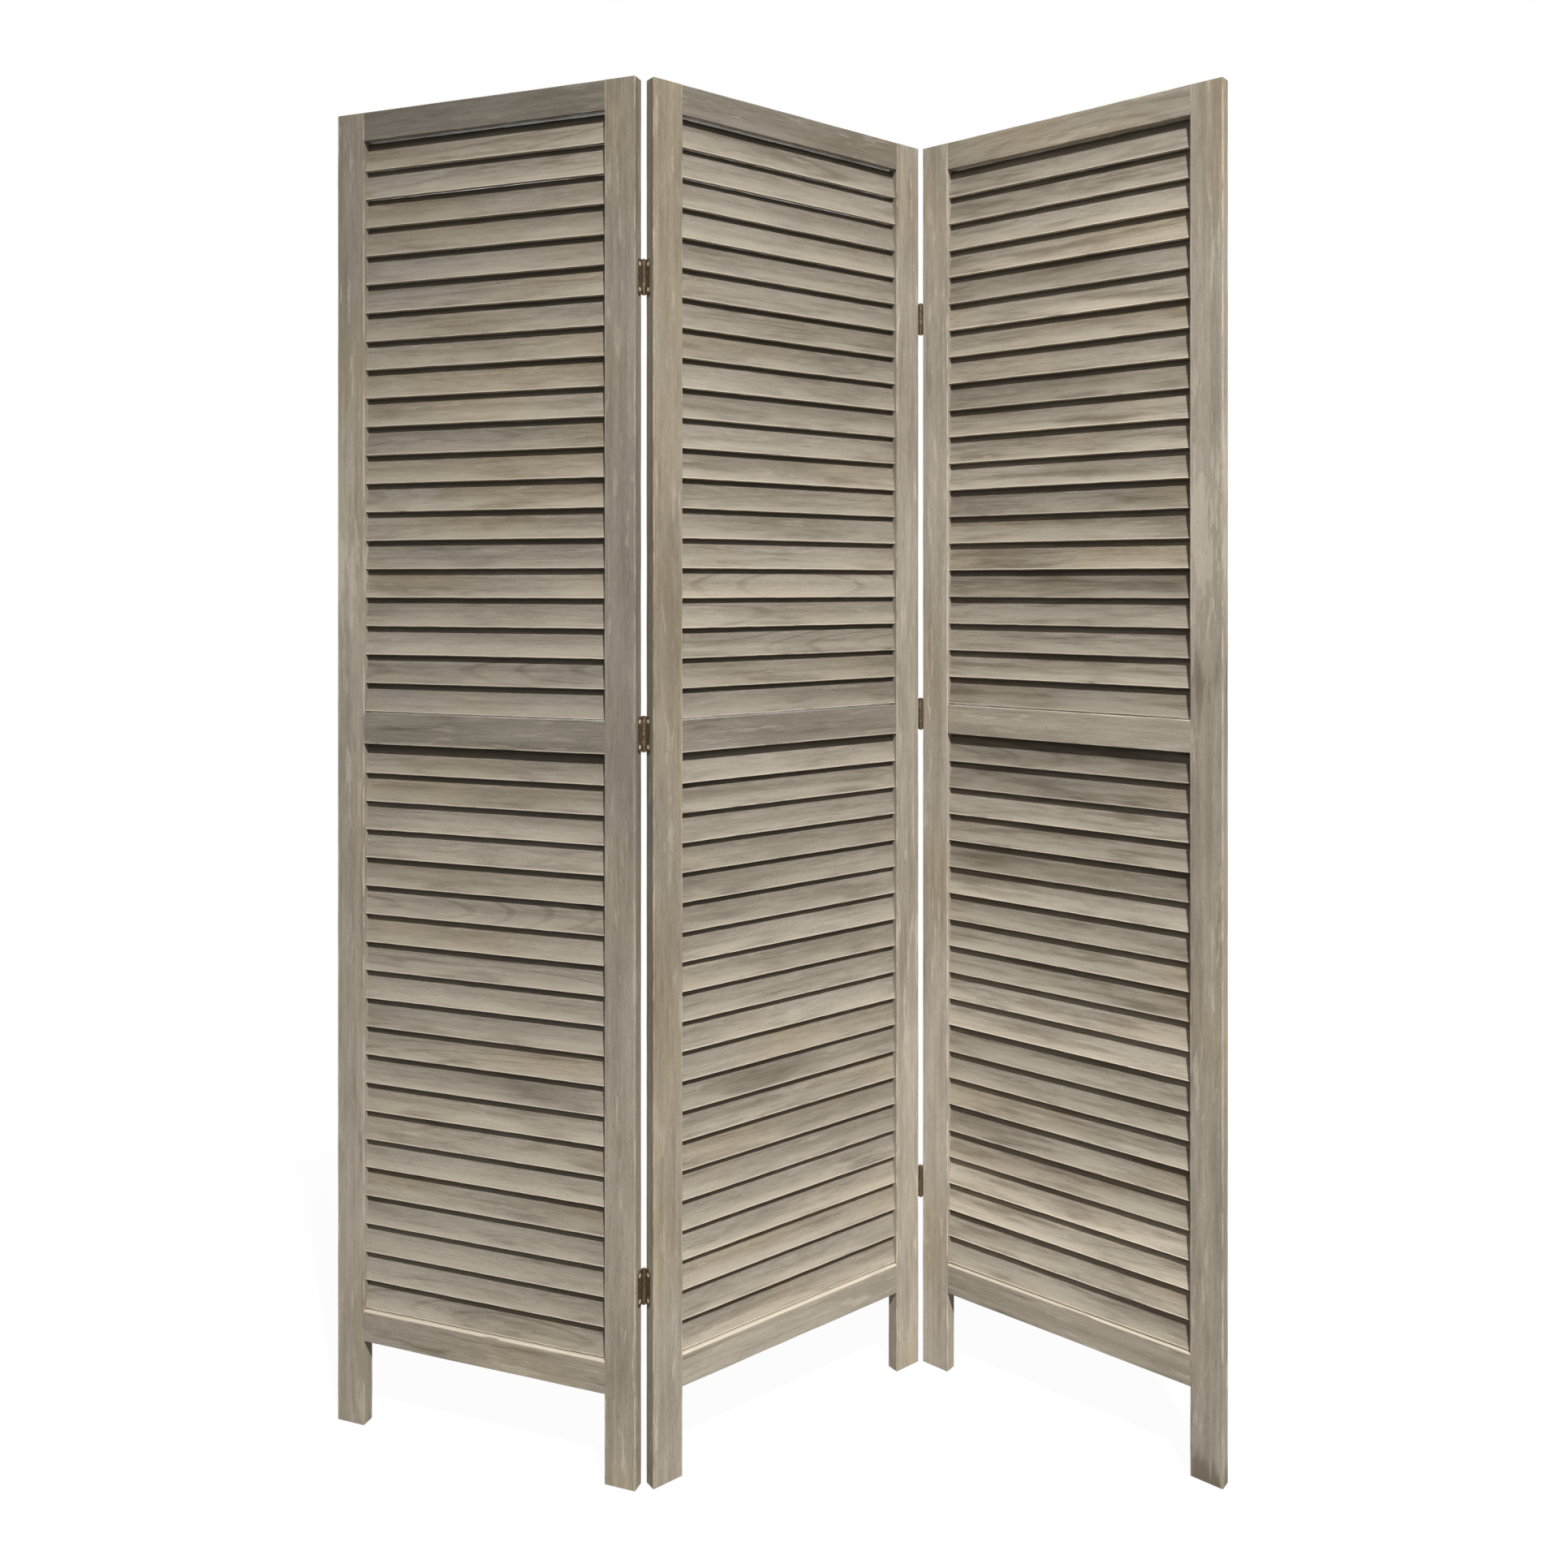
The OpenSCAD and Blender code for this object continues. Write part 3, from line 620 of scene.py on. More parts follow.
# the slats' finish carries painted shade: its crease and its shade slope
slat_wood = washed_wood("grey_wash_on_light_hardwood_with_painted_shade", {
    "figure": {"rings": 0.20, "fibres": 0.75, "streaks": 0.55, "blotches": 0.45,
               "clouds": 0.70},
    "shade_slope": 0.10, "smears": 0.50, "patches": 0.30, "paler_below": 0.50, "crease_shade": 0.75,
    "spread": 0.0003,
})

# %% [markdown]
# ## Stiles and rails
# Stiles and rails are planed boards with sanded arrises. Each is built as a mesh of its
# own: the section, a rectangle with four round corners, is laid out in rings along the
# board, and hand sanding is drawn as a tiny unevenness of the surface. The last ring at each
# end is drawn in a little, so that the ends are eased as well, and a rail that meets a stile
# shows the fine line of its joint. Weighted normals keep the flat faces flat and let the
# arrises shine softly.

# %% Board mesh
ARRIS_STEPS = 4              # faces round each arris
RING_STEP = 0.022            # spacing of the rings along a board
SANDING = 0.00012            # unevenness left by hand sanding
SANDING_ALONG = 25           # scale of its noise along a board
SANDING_ACROSS = 300         # scale of its noise across and through a board
SANDING_JUMP = 50            # how far its noise is moved from board to board
END_EASE = 0.0005            # bevel round the ends
LEAST_RADIUS = 0.0001        # so that a drawn-in ring keeps its round corners
NARROW_FACE = 0.00005        # a point this near a board's width belongs to a narrow face


def board_section(half_width, half_thickness, radii):
    """Points round a rectangle with its four corners rounded by their own radii."""
    points = []
    for quarter, (sx, sy, radius) in enumerate(zip((1, -1, -1, 1), (1, 1, -1, -1), radii)):
        for step in range(ARRIS_STEPS + 1):
            angle = math.radians(90 * (quarter + step / ARRIS_STEPS))
            points.append((sx * (half_width - radius) + radius * math.cos(angle),
                           sy * (half_thickness - radius) + radius * math.sin(angle)))
    return points


def board_rings(length, end_ease):
    """(place along the board, how far the ring is drawn in) from end to end."""
    half = length / 2
    steps = max(2, round((length - 2 * end_ease) / RING_STEP))
    inner = [(-half + end_ease + (length - 2 * end_ease) * i / steps, 0.0)
             for i in range(steps + 1)]
    return [(-half, end_ease)] + inner + [(half, end_ease)]


def set_vectors(mesh, name, values):
    """Stores one vector for each vertex."""
    attribute = mesh.attributes.new(name, "FLOAT_VECTOR", "POINT")
    attribute.data.foreach_set("vector", [c for value in values for c in value])


def set_numbers(mesh, name, values):
    """Stores one number for each vertex."""
    attribute = mesh.attributes.new(name, "FLOAT", "POINT")
    attribute.data.foreach_set("value", values)


def mark_at(marks, distance):
    """How strong the marks are at a distance from a board's start."""
    total = 0.0
    for middle, reach, strength in marks:
        share = max(0.0, 1 - ((distance - middle) / reach) ** 2)
        total += strength * share * share
    return total


def tone_at(stops, share):
    """The tone at a share of a board's length, between evenly spaced stops."""
    spot = share * (len(stops) - 1)
    before = min(int(spot), len(stops) - 2)
    return stops[before] + (stops[before + 1] - stops[before]) * (spot - before)


def board_mesh(name, length, width, thickness, radii, chances, tones, wear, marks=()):
    """A board with its grain along X, its width along Y and its thickness along Z.

    tones are its lightness along the grain, from end to end, and on the two narrow faces.
    Each mark is its middle's distance from the start, its reach either way and its strength.
    """
    rings = board_rings(length, END_EASE)
    verts, places, lightness, strengths = [], [], [], []
    for along, drawn_in in rings:
        section = board_section(width / 2 - drawn_in, thickness / 2 - drawn_in,
                                [max(r - drawn_in, LEAST_RADIUS) for r in radii])
        for across, through in section:
            spot = Vector((along * SANDING_ALONG,
                           across * SANDING_ACROSS + chances[0] * SANDING_JUMP,
                           through * SANDING_ACROSS))
            grow = 1 if drawn_in else 1 + SANDING * noise.noise(spot) / (thickness / 2)
            places.append((along, across, through))
            verts.append((along, across * grow, through * grow))
            tone = tone_at(tones["along"], along / length + 0.5)
            if abs(across) > width / 2 - NARROW_FACE:
                tone *= tones["high edge" if across > 0 else "low edge"]
            lightness.append(tone)
            strengths.append(mark_at(marks, along + length / 2))
    count = len(verts) // len(rings)
    faces = [tuple(range(count))[::-1], tuple(range(len(verts) - count, len(verts)))]
    for ring in range(len(rings) - 1):
        for i in range(count):
            j = (i + 1) % count
            a, b = ring * count, (ring + 1) * count
            faces.append((a + i, a + j, b + j, b + i))
    mesh = bpy.data.meshes.new(name)
    mesh.from_pydata(verts, [], faces)
    mesh.polygons.foreach_set("use_smooth", [len(f) == 4 for f in faces])
    set_vectors(mesh, "board", places)
    set_vectors(mesh, "size", [(length / 2, width / 2, thickness / 2)] * len(verts))
    set_vectors(mesh, "chance", [chances] * len(verts))
    set_numbers(mesh, "tone", lightness)
    set_numbers(mesh, "wear", [wear] * len(verts))
    set_numbers(mesh, "mark", strengths)
    return mesh


def plain_mesh(piece):
    """Applies a piece's modifiers, so that it is left as a plain mesh."""
    bpy.context.view_layer.update()
    depsgraph = bpy.context.evaluated_depsgraph_get()
    mesh = bpy.data.meshes.new_from_object(piece.evaluated_get(depsgraph),
                                           preserve_all_data_layers=True,
                                           depsgraph=depsgraph)
    piece.modifiers.clear()
    piece.data = mesh
    return mesh


def enclosed_volume(mesh):
    """Volume that a closed mesh holds. It is positive where the faces point outward."""
    mesh.calc_loop_triangles()
    total = 0.0
    for triangle in mesh.loop_triangles:
        a, b, c = (mesh.vertices[i].co for i in triangle.vertices)
        total += a.dot(b.cross(c)) / 6
    return total


EVEN_TONE = {"along": (1.0, 1.0), "high edge": 1.0, "low edge": 1.0}
trial = board_mesh("trial", 1.0, 0.04, 0.017, [0.001] * 4, (0.0, 0.0, 0.0), EVEN_TONE, 0.0)
print("trial board holds", round(enclosed_volume(trial) * 1e6, 1), "cm3 of 680")
bpy.data.meshes.remove(trial)

# %% Lay the boards in the panels
OUTER_ARRIS = 0.0015         # radius that the outer arrises are sanded to
INNER_ARRIS = 0.0004         # crisp arris of a stile towards its bays
RAIL_ARRIS = 0.0008          # radius of a rail's long arrises
GRAIN_UP = Matrix(((0, 1, 0), (0, 0, 1), (1, 0, 0))).to_4x4()
GRAIN_LEVEL = Matrix(((1, 0, 0), (0, 0, -1), (0, 1, 0))).to_4x4()
BOARD_SEED = 11
# Boards that are lighter or darker than the rest: partly their own tone and partly painted
# light and shade for light that falls unevenly over the screen. The tones of a board are
# spaced evenly along it, and those of a stile start at its foot. The two edges at the left
# joint are darker, and the right panel's outer edge is painted paler than its face, as painted
# light.
BOARD_TONES_AND_PAINTED_LIGHT = {
    "left_panel_left_stile": {"along": (0.91, 0.94, 1.05)},
    "left_panel_right_stile": {"along": (1.12, 0.64, 0.86), "high edge": 0.93},
    "left_panel_top_rail": {"along": (0.59, 0.59)},
    "left_panel_middle_rail": {"along": (0.65, 0.65)},
    "left_panel_bottom_rail": {"along": (0.93, 0.93)},
    "centre_panel_left_stile": {"along": (0.99, 0.70, 0.73, 0.83), "low edge": 0.92},
    "centre_panel_right_stile": {"along": (1.32, 0.98, 1.24)},
    "centre_panel_top_rail": {"along": (0.78, 0.78)},
    "centre_panel_middle_rail": {"along": (0.70, 0.70)},
    "right_panel_left_stile": {"along": (1.33, 1.12, 1.22)},
    # painted light: its outer edge paler than its face
    "right_panel_right_stile": {"along": (1.11, 0.96, 1.14), "high edge": 1.2},
    "right_panel_middle_rail": {"along": (1.02, 1.02)},
    "right_panel_bottom_rail": {"along": (0.94, 0.94)},
}
# Marks of the brush in metres from a board's start: middle, reach either way and strength.
BOARD_MARKS = {
    "left_panel_left_stile": ((1.12, 0.07, 0.7),),
    "right_panel_right_stile": ((1.15, 0.14, 0.6), (0.97, 0.06, -0.6), (0.0, 0.05, -1.0)),
}
# The edge of a rail that is worn most: the upper one above 0, the lower one below 0.
RAIL_WEAR = {
    "left_panel_middle_rail": -1.0, "centre_panel_middle_rail": -1.0,
    "left_panel_bottom_rail": 1.0, "centre_panel_bottom_rail": 1.0,
    "right_panel_bottom_rail": 1.0,
}

board_draw = random.Random(BOARD_SEED)
board_pieces = {}


def lay_board(panel, part, length, width, radii, to_panel, middle, wear=0.0):
    """Makes a board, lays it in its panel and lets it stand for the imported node."""
    node = f"{panel}_panel_{part}"
    chances = tuple(board_draw.random() for _ in range(3))
    tones = {**EVEN_TONE, **BOARD_TONES_AND_PAINTED_LIGHT.get(node, {})}
    mesh = board_mesh(f"{node}_board", length, width, FRAME_THICKNESS, radii, chances,
                      tones, wear, BOARD_MARKS.get(node, ()))
    mesh.materials.append(frame_wood)
    piece = bpy.data.objects.new(f"{node}_board", mesh)
    scene.collection.objects.link(piece)
    piece.modifiers.new("flat faces", "WEIGHTED_NORMAL").keep_sharp = True
    plain_mesh(piece).transform(PLACES[panel] @ Matrix.Translation(middle) @ to_panel)
    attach(piece, f"{panel}_panel")
    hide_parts(node)
    board_pieces[node] = piece
    return piece


for panel in PANEL_TURNS:
    for side, middle_u in (("left", STILE_WIDTH / 2), ("right", PANEL_WIDTH - STILE_WIDTH / 2)):
        low, high = (corner.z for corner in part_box(f"{panel}_panel_{side}_stile"))
        outer_first = [OUTER_ARRIS, INNER_ARRIS, INNER_ARRIS, OUTER_ARRIS]
        inner_first = [INNER_ARRIS, OUTER_ARRIS, OUTER_ARRIS, INNER_ARRIS]
        lay_board(panel, f"{side}_stile", high - low, STILE_WIDTH,
                  inner_first if side == "left" else outer_first, GRAIN_UP,
                  (middle_u, FRAME_THICKNESS / 2, (low + high) / 2))
    for level in ("top", "middle", "bottom"):
        low, high = (corner.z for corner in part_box(f"{panel}_panel_{level}_rail"))
        lay_board(panel, f"{level}_rail", PANEL_WIDTH - 2 * STILE_WIDTH, high - low,
                  [RAIL_ARRIS] * 4, GRAIN_LEVEL,
                  (PANEL_WIDTH / 2, FRAME_THICKNESS / 2, (low + high) / 2),
                  RAIL_WEAR.get(f"{panel}_panel_{level}_rail", 0.0))


def box_difference(piece, node):
    """Largest difference between a piece's box and that of the node it stands for."""
    low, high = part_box(node)
    spots = [v.co for v in piece.data.vertices]
    worst = 0.0
    for axis in range(3):
        line = [spot[axis] for spot in spots]
        worst = max(worst, abs(min(line) - low[axis]), abs(max(line) - high[axis]))
    return worst


worst = max(box_difference(piece, node) for node, piece in board_pieces.items())
print(len(board_pieces), "boards, largest box difference:", round(worst * 1000, 3), "mm")

# %% [markdown]
# ## Louvre bays
# Forty slats fill the two bays of a panel. They are all one moulding, housed in leaning
# grooves and spread evenly between two rails, so they follow a rule and are made by
# Geometry Nodes: a rounded section is swept along a straight path, and copies of that slat
# stand on a column of points. Thin slats dry with a slight bow, and that is what lets
# slivers of light through at the top of the real screen. The tree gives each copy its own
# random bow from a fixed seed, zero at the two housed ends and full in the middle. A slow
# noise then lets the hand-sanded long edges waver by a fraction of a millimetre, so that such
# a sliver breaks up into short dots. A bay's tone runs from its lowest slat to its highest,
# and a mixed batch of slats gets more contrast, which also brings it more dark smears.

# %% Louvre tree


def new_geometry_tree(name, sizes):
    """A geometry tree with one named input for each size, and the sockets of its inputs."""
    tree = bpy.data.node_groups.new(name, "GeometryNodeTree")
    tree.interface.new_socket("Geometry", in_out="INPUT", socket_type="NodeSocketGeometry")
    for label, kind in sizes.items():
        tree.interface.new_socket(label, in_out="INPUT", socket_type=f"NodeSocket{kind}")
    tree.interface.new_socket("Geometry", in_out="OUTPUT", socket_type="NodeSocketGeometry")
    return tree, add(tree, "NodeGroupInput").outputs


def set_inputs(modifier, values):
    """Sets a modifier's inputs by their labels, through the sockets' identifiers."""
    for item in modifier.node_group.interface.items_tree:
        if item.in_out == "INPUT" and item.name in values:
            modifier[item.identifier] = values[item.name]


louvre_tree, louvre_in = new_geometry_tree("louvre_bay", {
    "Slat Length": "Float", "Slat Width": "Float", "Slat Thickness": "Float",
    "Edge Radius": "Float", "Lean": "Float", "First Level": "Float",
    "Last Level": "Float", "Slat Count": "Int", "Middle": "Float", "Depth": "Float",
    "Bow": "Float", "Waver": "Float", "Low Tone": "Float", "High Tone": "Float",
    "Contrast": "Float", "Seed": "Int", "Wood": "Material",
})
print("louvre tree takes:", ", ".join(socket.name for socket in louvre_in if socket.name))

# %% One slat of the louvre tree
WEAR_OF_SLATS = -1.0         # their lower edge is the one that dust cloths rub
SLAT_RINGS = 41              # rings along a slat, so that it can bow and waver
SLAT_EDGE_STEPS = 3          # steps round each of a slat's long edges

slat_half = [add(louvre_tree, "ShaderNodeMath", (louvre_in[label], 0.5), operation="MULTIPLY")
             for label in ("Slat Length", "Slat Width", "Slat Thickness")]
half_length = slat_half[0]
path_start = add(louvre_tree, "ShaderNodeMath", (half_length, -1.0), operation="MULTIPLY")
path_start = add(louvre_tree, "ShaderNodeCombineXYZ", (path_start,))
path_end = add(louvre_tree, "ShaderNodeCombineXYZ", (half_length,))
path = add(louvre_tree, "GeometryNodeCurvePrimitiveLine",
           {"Start": path_start, "End": path_end})
path = add(louvre_tree, "GeometryNodeResampleCurve", {"Curve": path, "Count": SLAT_RINGS})
profile = add(louvre_tree, "GeometryNodeCurvePrimitiveQuadrilateral",
              {"Width": louvre_in["Slat Thickness"], "Height": louvre_in["Slat Width"]})
profile = add(louvre_tree, "GeometryNodeFilletCurve",
              {"Curve": profile, "Radius": louvre_in["Edge Radius"],
               "Count": SLAT_EDGE_STEPS}, mode="POLY")
slat = add(louvre_tree, "GeometryNodeCurveToMesh",
           {"Curve": path, "Profile Curve": profile, "Fill Caps": True})
slat_spot = add(louvre_tree, "GeometryNodeInputPosition")
slat_spot = add(louvre_tree, "ShaderNodeSeparateXYZ", (slat_spot,)).outputs
slat_place = add(louvre_tree, "ShaderNodeCombineXYZ",
                 (slat_spot["X"], slat_spot["Z"], slat_spot["Y"]))
slat_size = add(louvre_tree, "ShaderNodeCombineXYZ", slat_half)
for name, value, kind in (("board", slat_place, "FLOAT_VECTOR"),
                          ("size", slat_size, "FLOAT_VECTOR"),
                          ("wear", WEAR_OF_SLATS, "FLOAT")):
    slat = add(louvre_tree, "GeometryNodeStoreNamedAttribute",
               {"Geometry": slat, "Name": name, "Value": value},
               data_type=kind, domain="POINT")
print("a slat has", SLAT_RINGS, "rings")

# %% The column of slats
SMEARS_OF_CONTRAST = -1.5    # mark of a batch of slats for each unit of its contrast

low_end, high_end = (
    add(louvre_tree, "ShaderNodeCombineXYZ",
        (louvre_in["Middle"], louvre_in["Depth"], louvre_in[label]))
    for label in ("First Level", "Last Level"))
column = add(louvre_tree, "GeometryNodeMeshLine",
             {"Count": louvre_in["Slat Count"], "Start Location": low_end,
              "Offset": high_end}, mode="END_POINTS")
draw = add(louvre_tree, "FunctionNodeRandomValue",
           {0: (0.0, 0.0, 0.0), 1: (1.0, 1.0, 1.0), "Seed": louvre_in["Seed"]},
           data_type="FLOAT_VECTOR")
last = add(louvre_tree, "ShaderNodeMath", (louvre_in["Slat Count"], 1.0),
           operation="SUBTRACT")
level_tone = add(louvre_tree, "ShaderNodeMapRange",
                 {"Value": add(louvre_tree, "GeometryNodeInputIndex"), "From Max": last,
                  "To Min": louvre_in["Low Tone"], "To Max": louvre_in["High Tone"]})
slat_luck = add(louvre_tree, "ShaderNodeSeparateXYZ", (draw,)).outputs["Z"]
slat_luck = add(louvre_tree, "ShaderNodeMath", (slat_luck, 0.5), operation="SUBTRACT")
unlike = add(louvre_tree, "ShaderNodeMath", (slat_luck, louvre_in["Contrast"], 1.0),
             operation="MULTIPLY_ADD")
slat_tone = add(louvre_tree, "ShaderNodeMath", (level_tone, unlike), operation="MULTIPLY")
slat_mark = add(louvre_tree, "ShaderNodeMath", (louvre_in["Contrast"], SMEARS_OF_CONTRAST),
                operation="MULTIPLY")
for name, value, kind in (("chance", draw, "FLOAT_VECTOR"), ("tone", slat_tone, "FLOAT"),
                          ("mark", slat_mark, "FLOAT")):
    column = add(louvre_tree, "GeometryNodeStoreNamedAttribute",
                 {"Geometry": column, "Name": name, "Value": value},
                 data_type=kind, domain="POINT")
turn = add(louvre_tree, "ShaderNodeMath", (louvre_in["Lean"], -1.0), operation="MULTIPLY")
turn = add(louvre_tree, "ShaderNodeCombineXYZ", (turn,))
slats = add(louvre_tree, "GeometryNodeInstanceOnPoints",
            {"Points": column, "Instance": slat, "Rotation": turn})
slats = add(louvre_tree, "GeometryNodeRealizeInstances", {"Geometry": slats})
print("the slat and its column take", len(louvre_tree.nodes), "nodes")

# %% Bow, waver and material
WAVER_SCALE = 45.0           # a long edge wavers every two centimetres or so
ACROSS_AND_THROUGH = (0.0, 1.0, 1.0)  # a slat keeps its length when it bows

along, luck = (add(louvre_tree, "GeometryNodeInputNamedAttribute", {"Name": name},
                   data_type="FLOAT_VECTOR") for name in ("board", "chance"))
along = add(louvre_tree, "ShaderNodeSeparateXYZ", (along,)).outputs["X"]
share = add(louvre_tree, "ShaderNodeMath", (along, half_length), operation="DIVIDE")
arch = add(louvre_tree, "ShaderNodeMath", (share, share), operation="MULTIPLY")
arch = add(louvre_tree, "ShaderNodeMath", (1.0, arch), operation="SUBTRACT")
luck = add(louvre_tree, "ShaderNodeVectorMath", (luck, (0.5, 0.5, 0.5)),
           operation="SUBTRACT")
bow = add(louvre_tree, "ShaderNodeMath", (arch, louvre_in["Bow"]), operation="MULTIPLY")
bow = add(louvre_tree, "ShaderNodeVectorMath", {0: luck, "Scale": bow}, operation="SCALE")
bow = add(louvre_tree, "ShaderNodeVectorMath", (bow, ACROSS_AND_THROUGH),
          operation="MULTIPLY")
slats = add(louvre_tree, "GeometryNodeSetPosition", {"Geometry": slats, "Offset": bow})
waver = add(louvre_tree, "ShaderNodeTexNoise",
            {"Vector": add(louvre_tree, "GeometryNodeInputPosition"),
             "Scale": WAVER_SCALE, "Detail": 2.0})
waver = add(louvre_tree, "ShaderNodeMath", (waver, 0.5), operation="SUBTRACT")
waver = add(louvre_tree, "ShaderNodeMath", (waver, louvre_in["Waver"]),
            operation="MULTIPLY")
waver = add(louvre_tree, "ShaderNodeCombineXYZ", {2: waver})
slats = add(louvre_tree, "GeometryNodeSetPosition", {"Geometry": slats, "Offset": waver})
slats = add(louvre_tree, "GeometryNodeSetShadeSmooth", (slats,))
slats = add(louvre_tree, "GeometryNodeSetMaterial",
            {"Geometry": slats, "Material": louvre_in["Wood"]})
add(louvre_tree, "NodeGroupOutput", (slats,))
print("louvre tree has", len(louvre_tree.nodes), "nodes")

# %% Fill the six bays
SLAT_COUNT = 20
SLAT_WIDTH = 0.038
SLAT_THICKNESS = 0.0045
SLAT_LENGTH = 0.359
SLAT_EDGE_RADIUS = 0.0006
SLAT_LEAN = math.radians(10.5)
SLAT_SET_BACK = 0.0009       # from the middle of the frame towards its back
SLAT_BOW = 0.0004            # a slat bows by up to half of this either way
SLAT_WAVER = 0.0011          # unevenness of a slat's long edges
LOUVRE_SEED = 5
# Tone of a bay's lowest and highest slat: partly the slats' own tone and partly painted light
# and shade. The slats about the middle rail are darker.
BAY_TONES_AND_PAINTED_LIGHT = {
    "left_panel_lower": (0.77, 0.69), "left_panel_upper": (0.68, 0.74),
    "centre_panel_lower": (0.84, 0.66), "centre_panel_upper": (0.66, 0.74),
    "right_panel_lower": (1.11, 0.66), "right_panel_upper": (0.68, 0.90),
}
# The right panel was filled from a more mixed batch of slats.
MORE_CONTRAST = {"left": 0.0, "centre": 0.0, "right": 0.20}

slat_rise = ((SLAT_WIDTH - 2 * SLAT_EDGE_RADIUS) * math.cos(SLAT_LEAN)
             + (SLAT_THICKNESS - 2 * SLAT_EDGE_RADIUS) * math.sin(SLAT_LEAN)
             + 2 * SLAT_EDGE_RADIUS)
louvre_pieces = {}


def fill_bay(panel, bay, seed):
    """One bay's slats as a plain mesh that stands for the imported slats."""
    node = f"{panel}_panel_{bay}_slats"
    low, high = (corner.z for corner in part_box(node))
    low_tone, high_tone = BAY_TONES_AND_PAINTED_LIGHT[f"{panel}_panel_{bay}"]
    piece = bpy.data.objects.new(f"{panel}_panel_{bay}_louvre",
                                 bpy.data.meshes.new(f"{node}_start"))
    scene.collection.objects.link(piece)
    modifier = piece.modifiers.new("louvre bay", "NODES")
    modifier.node_group = louvre_tree
    set_inputs(modifier, {
        "Slat Length": SLAT_LENGTH, "Slat Width": SLAT_WIDTH,
        "Slat Thickness": SLAT_THICKNESS, "Edge Radius": SLAT_EDGE_RADIUS,
        "Lean": SLAT_LEAN, "First Level": low + slat_rise / 2,
        "Last Level": high - slat_rise / 2, "Slat Count": SLAT_COUNT,
        "Middle": PANEL_WIDTH / 2, "Depth": FRAME_THICKNESS / 2 + SLAT_SET_BACK,
        "Bow": SLAT_BOW, "Waver": SLAT_WAVER, "Low Tone": low_tone, "High Tone": high_tone,
        "Contrast": MORE_CONTRAST[panel], "Seed": seed, "Wood": slat_wood,
    })
    piece.modifiers.new("flat faces", "WEIGHTED_NORMAL").keep_sharp = True
    plain_mesh(piece).transform(PLACES[panel])
    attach(piece, f"{panel}_panel")
    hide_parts(node)
    louvre_pieces[node] = piece
    return piece


for panel in PANEL_TURNS:
    for bay in ("upper", "lower"):
        piece = fill_bay(panel, bay, LOUVRE_SEED + len(louvre_pieces))
        volume = enclosed_volume(piece.data) * 1e6
        print(piece.name, len(piece.data.polygons), "faces,", round(volume), "cm3")
worst = max(box_difference(piece, node) for node, piece in louvre_pieces.items())
print("largest box difference of a bay:", round(worst * 1000, 2), "mm")

# %% [markdown]
# ## Hinge metal
# The hinges are pressed steel butts with a dark antique bronze finish. Lacquer over a brown
# stain leaves them dark in the flats, and handling and tumbling bring the brass colour
# through in small patches. Lacquer isn't metal, so where it is whole the surface is only
# partly metallic and shows the stain's own brown, and where it is worn through it is a metal
# in full, lighter and smoother. The same function gives pins and screws their finish.

# %% Antique bronze
LACQUERED = (0.35, 1.0)      # metallic of the lacquered stain and of the worn metal
HIGHLIGHT_SCREW_METALLIC = (0.10, 0.45)       # metallic of the screw's pale cream and of its worn patches, kept low as a painted highlight


def mottled_metal(name, colours, patch_size, patch_edge, roughness, metallic):
    """Metal whose stain is worn in patches.

    Colours, roughness and metallic each give the value of the whole stain and that of the
    worn patches. The noise that places the patches sets in at the first value of patch_edge
    and is full at the second one.
    """
    material, tree, output = new_material(name)
    place = add(tree, "ShaderNodeTexCoord").outputs["Object"]
    patches = add(tree, "ShaderNodeTexNoise", {"Vector": place, "Scale": 1 / patch_size,
                                               "Detail": 4.0, "Roughness": 0.6})
    share = add(tree, "ShaderNodeMapRange", (patches, *patch_edge), **SMOOTH)
    colour = add(tree, "ShaderNodeMix", {0: share, 6: colours[0], 7: colours[1]},
                 data_type="RGBA")
    metallic = add(tree, "ShaderNodeMapRange", (share, 0.0, 1.0, *metallic), **SMOOTH)
    roughness = add(tree, "ShaderNodeMapRange", (share, 0.0, 1.0, *roughness), **SMOOTH)
    metal = add(tree, "ShaderNodeBsdfPrincipled",
                {"Base Color": colour, "Metallic": metallic, "Roughness": roughness})
    tree.links.new(metal.outputs[0], output.inputs["Surface"])
    return material


bronze = mottled_metal("antique_bronze_on_steel", colours=("#564939", "#A89478"),
                       patch_size=0.004, patch_edge=(0.45, 0.75), roughness=(0.42, 0.30),
                       metallic=LACQUERED)
pin_steel = mottled_metal("bronzed_pin_steel", colours=("#6E5B45", "#B8A27C"),
                          patch_size=0.003, patch_edge=(0.40, 0.70), roughness=(0.38, 0.26),
                          metallic=LACQUERED)
hinge_metals = {"_leaf": bronze, "_pin": pin_steel}
hinge_nodes = 0
for name, node in frame["nodes"].items():
    for ending, metal in hinge_metals.items():
        if name.endswith(ending):
            node.data.materials.clear()
            node.data.materials.append(metal)
            hinge_nodes += 1
print("hinge nodes finished:", hinge_nodes)

# %% [markdown]
# ## Beech dowels
# The dowels are hidden in the joints, but whoever takes a panel apart sees them: plain
# turned beech, pale and slightly warm, with small darker flecks.

# %% Beech
BEECH_COLOUR = "#D9B98C"
FLECK_COLOUR = "#B68E60"
FLECKS_IN_METRE = 900.0      # flecks of about 1.1 mm
FLECK_EDGE = (0.45, 0.75)    # the noise of the flecks starts to show here, and is full here

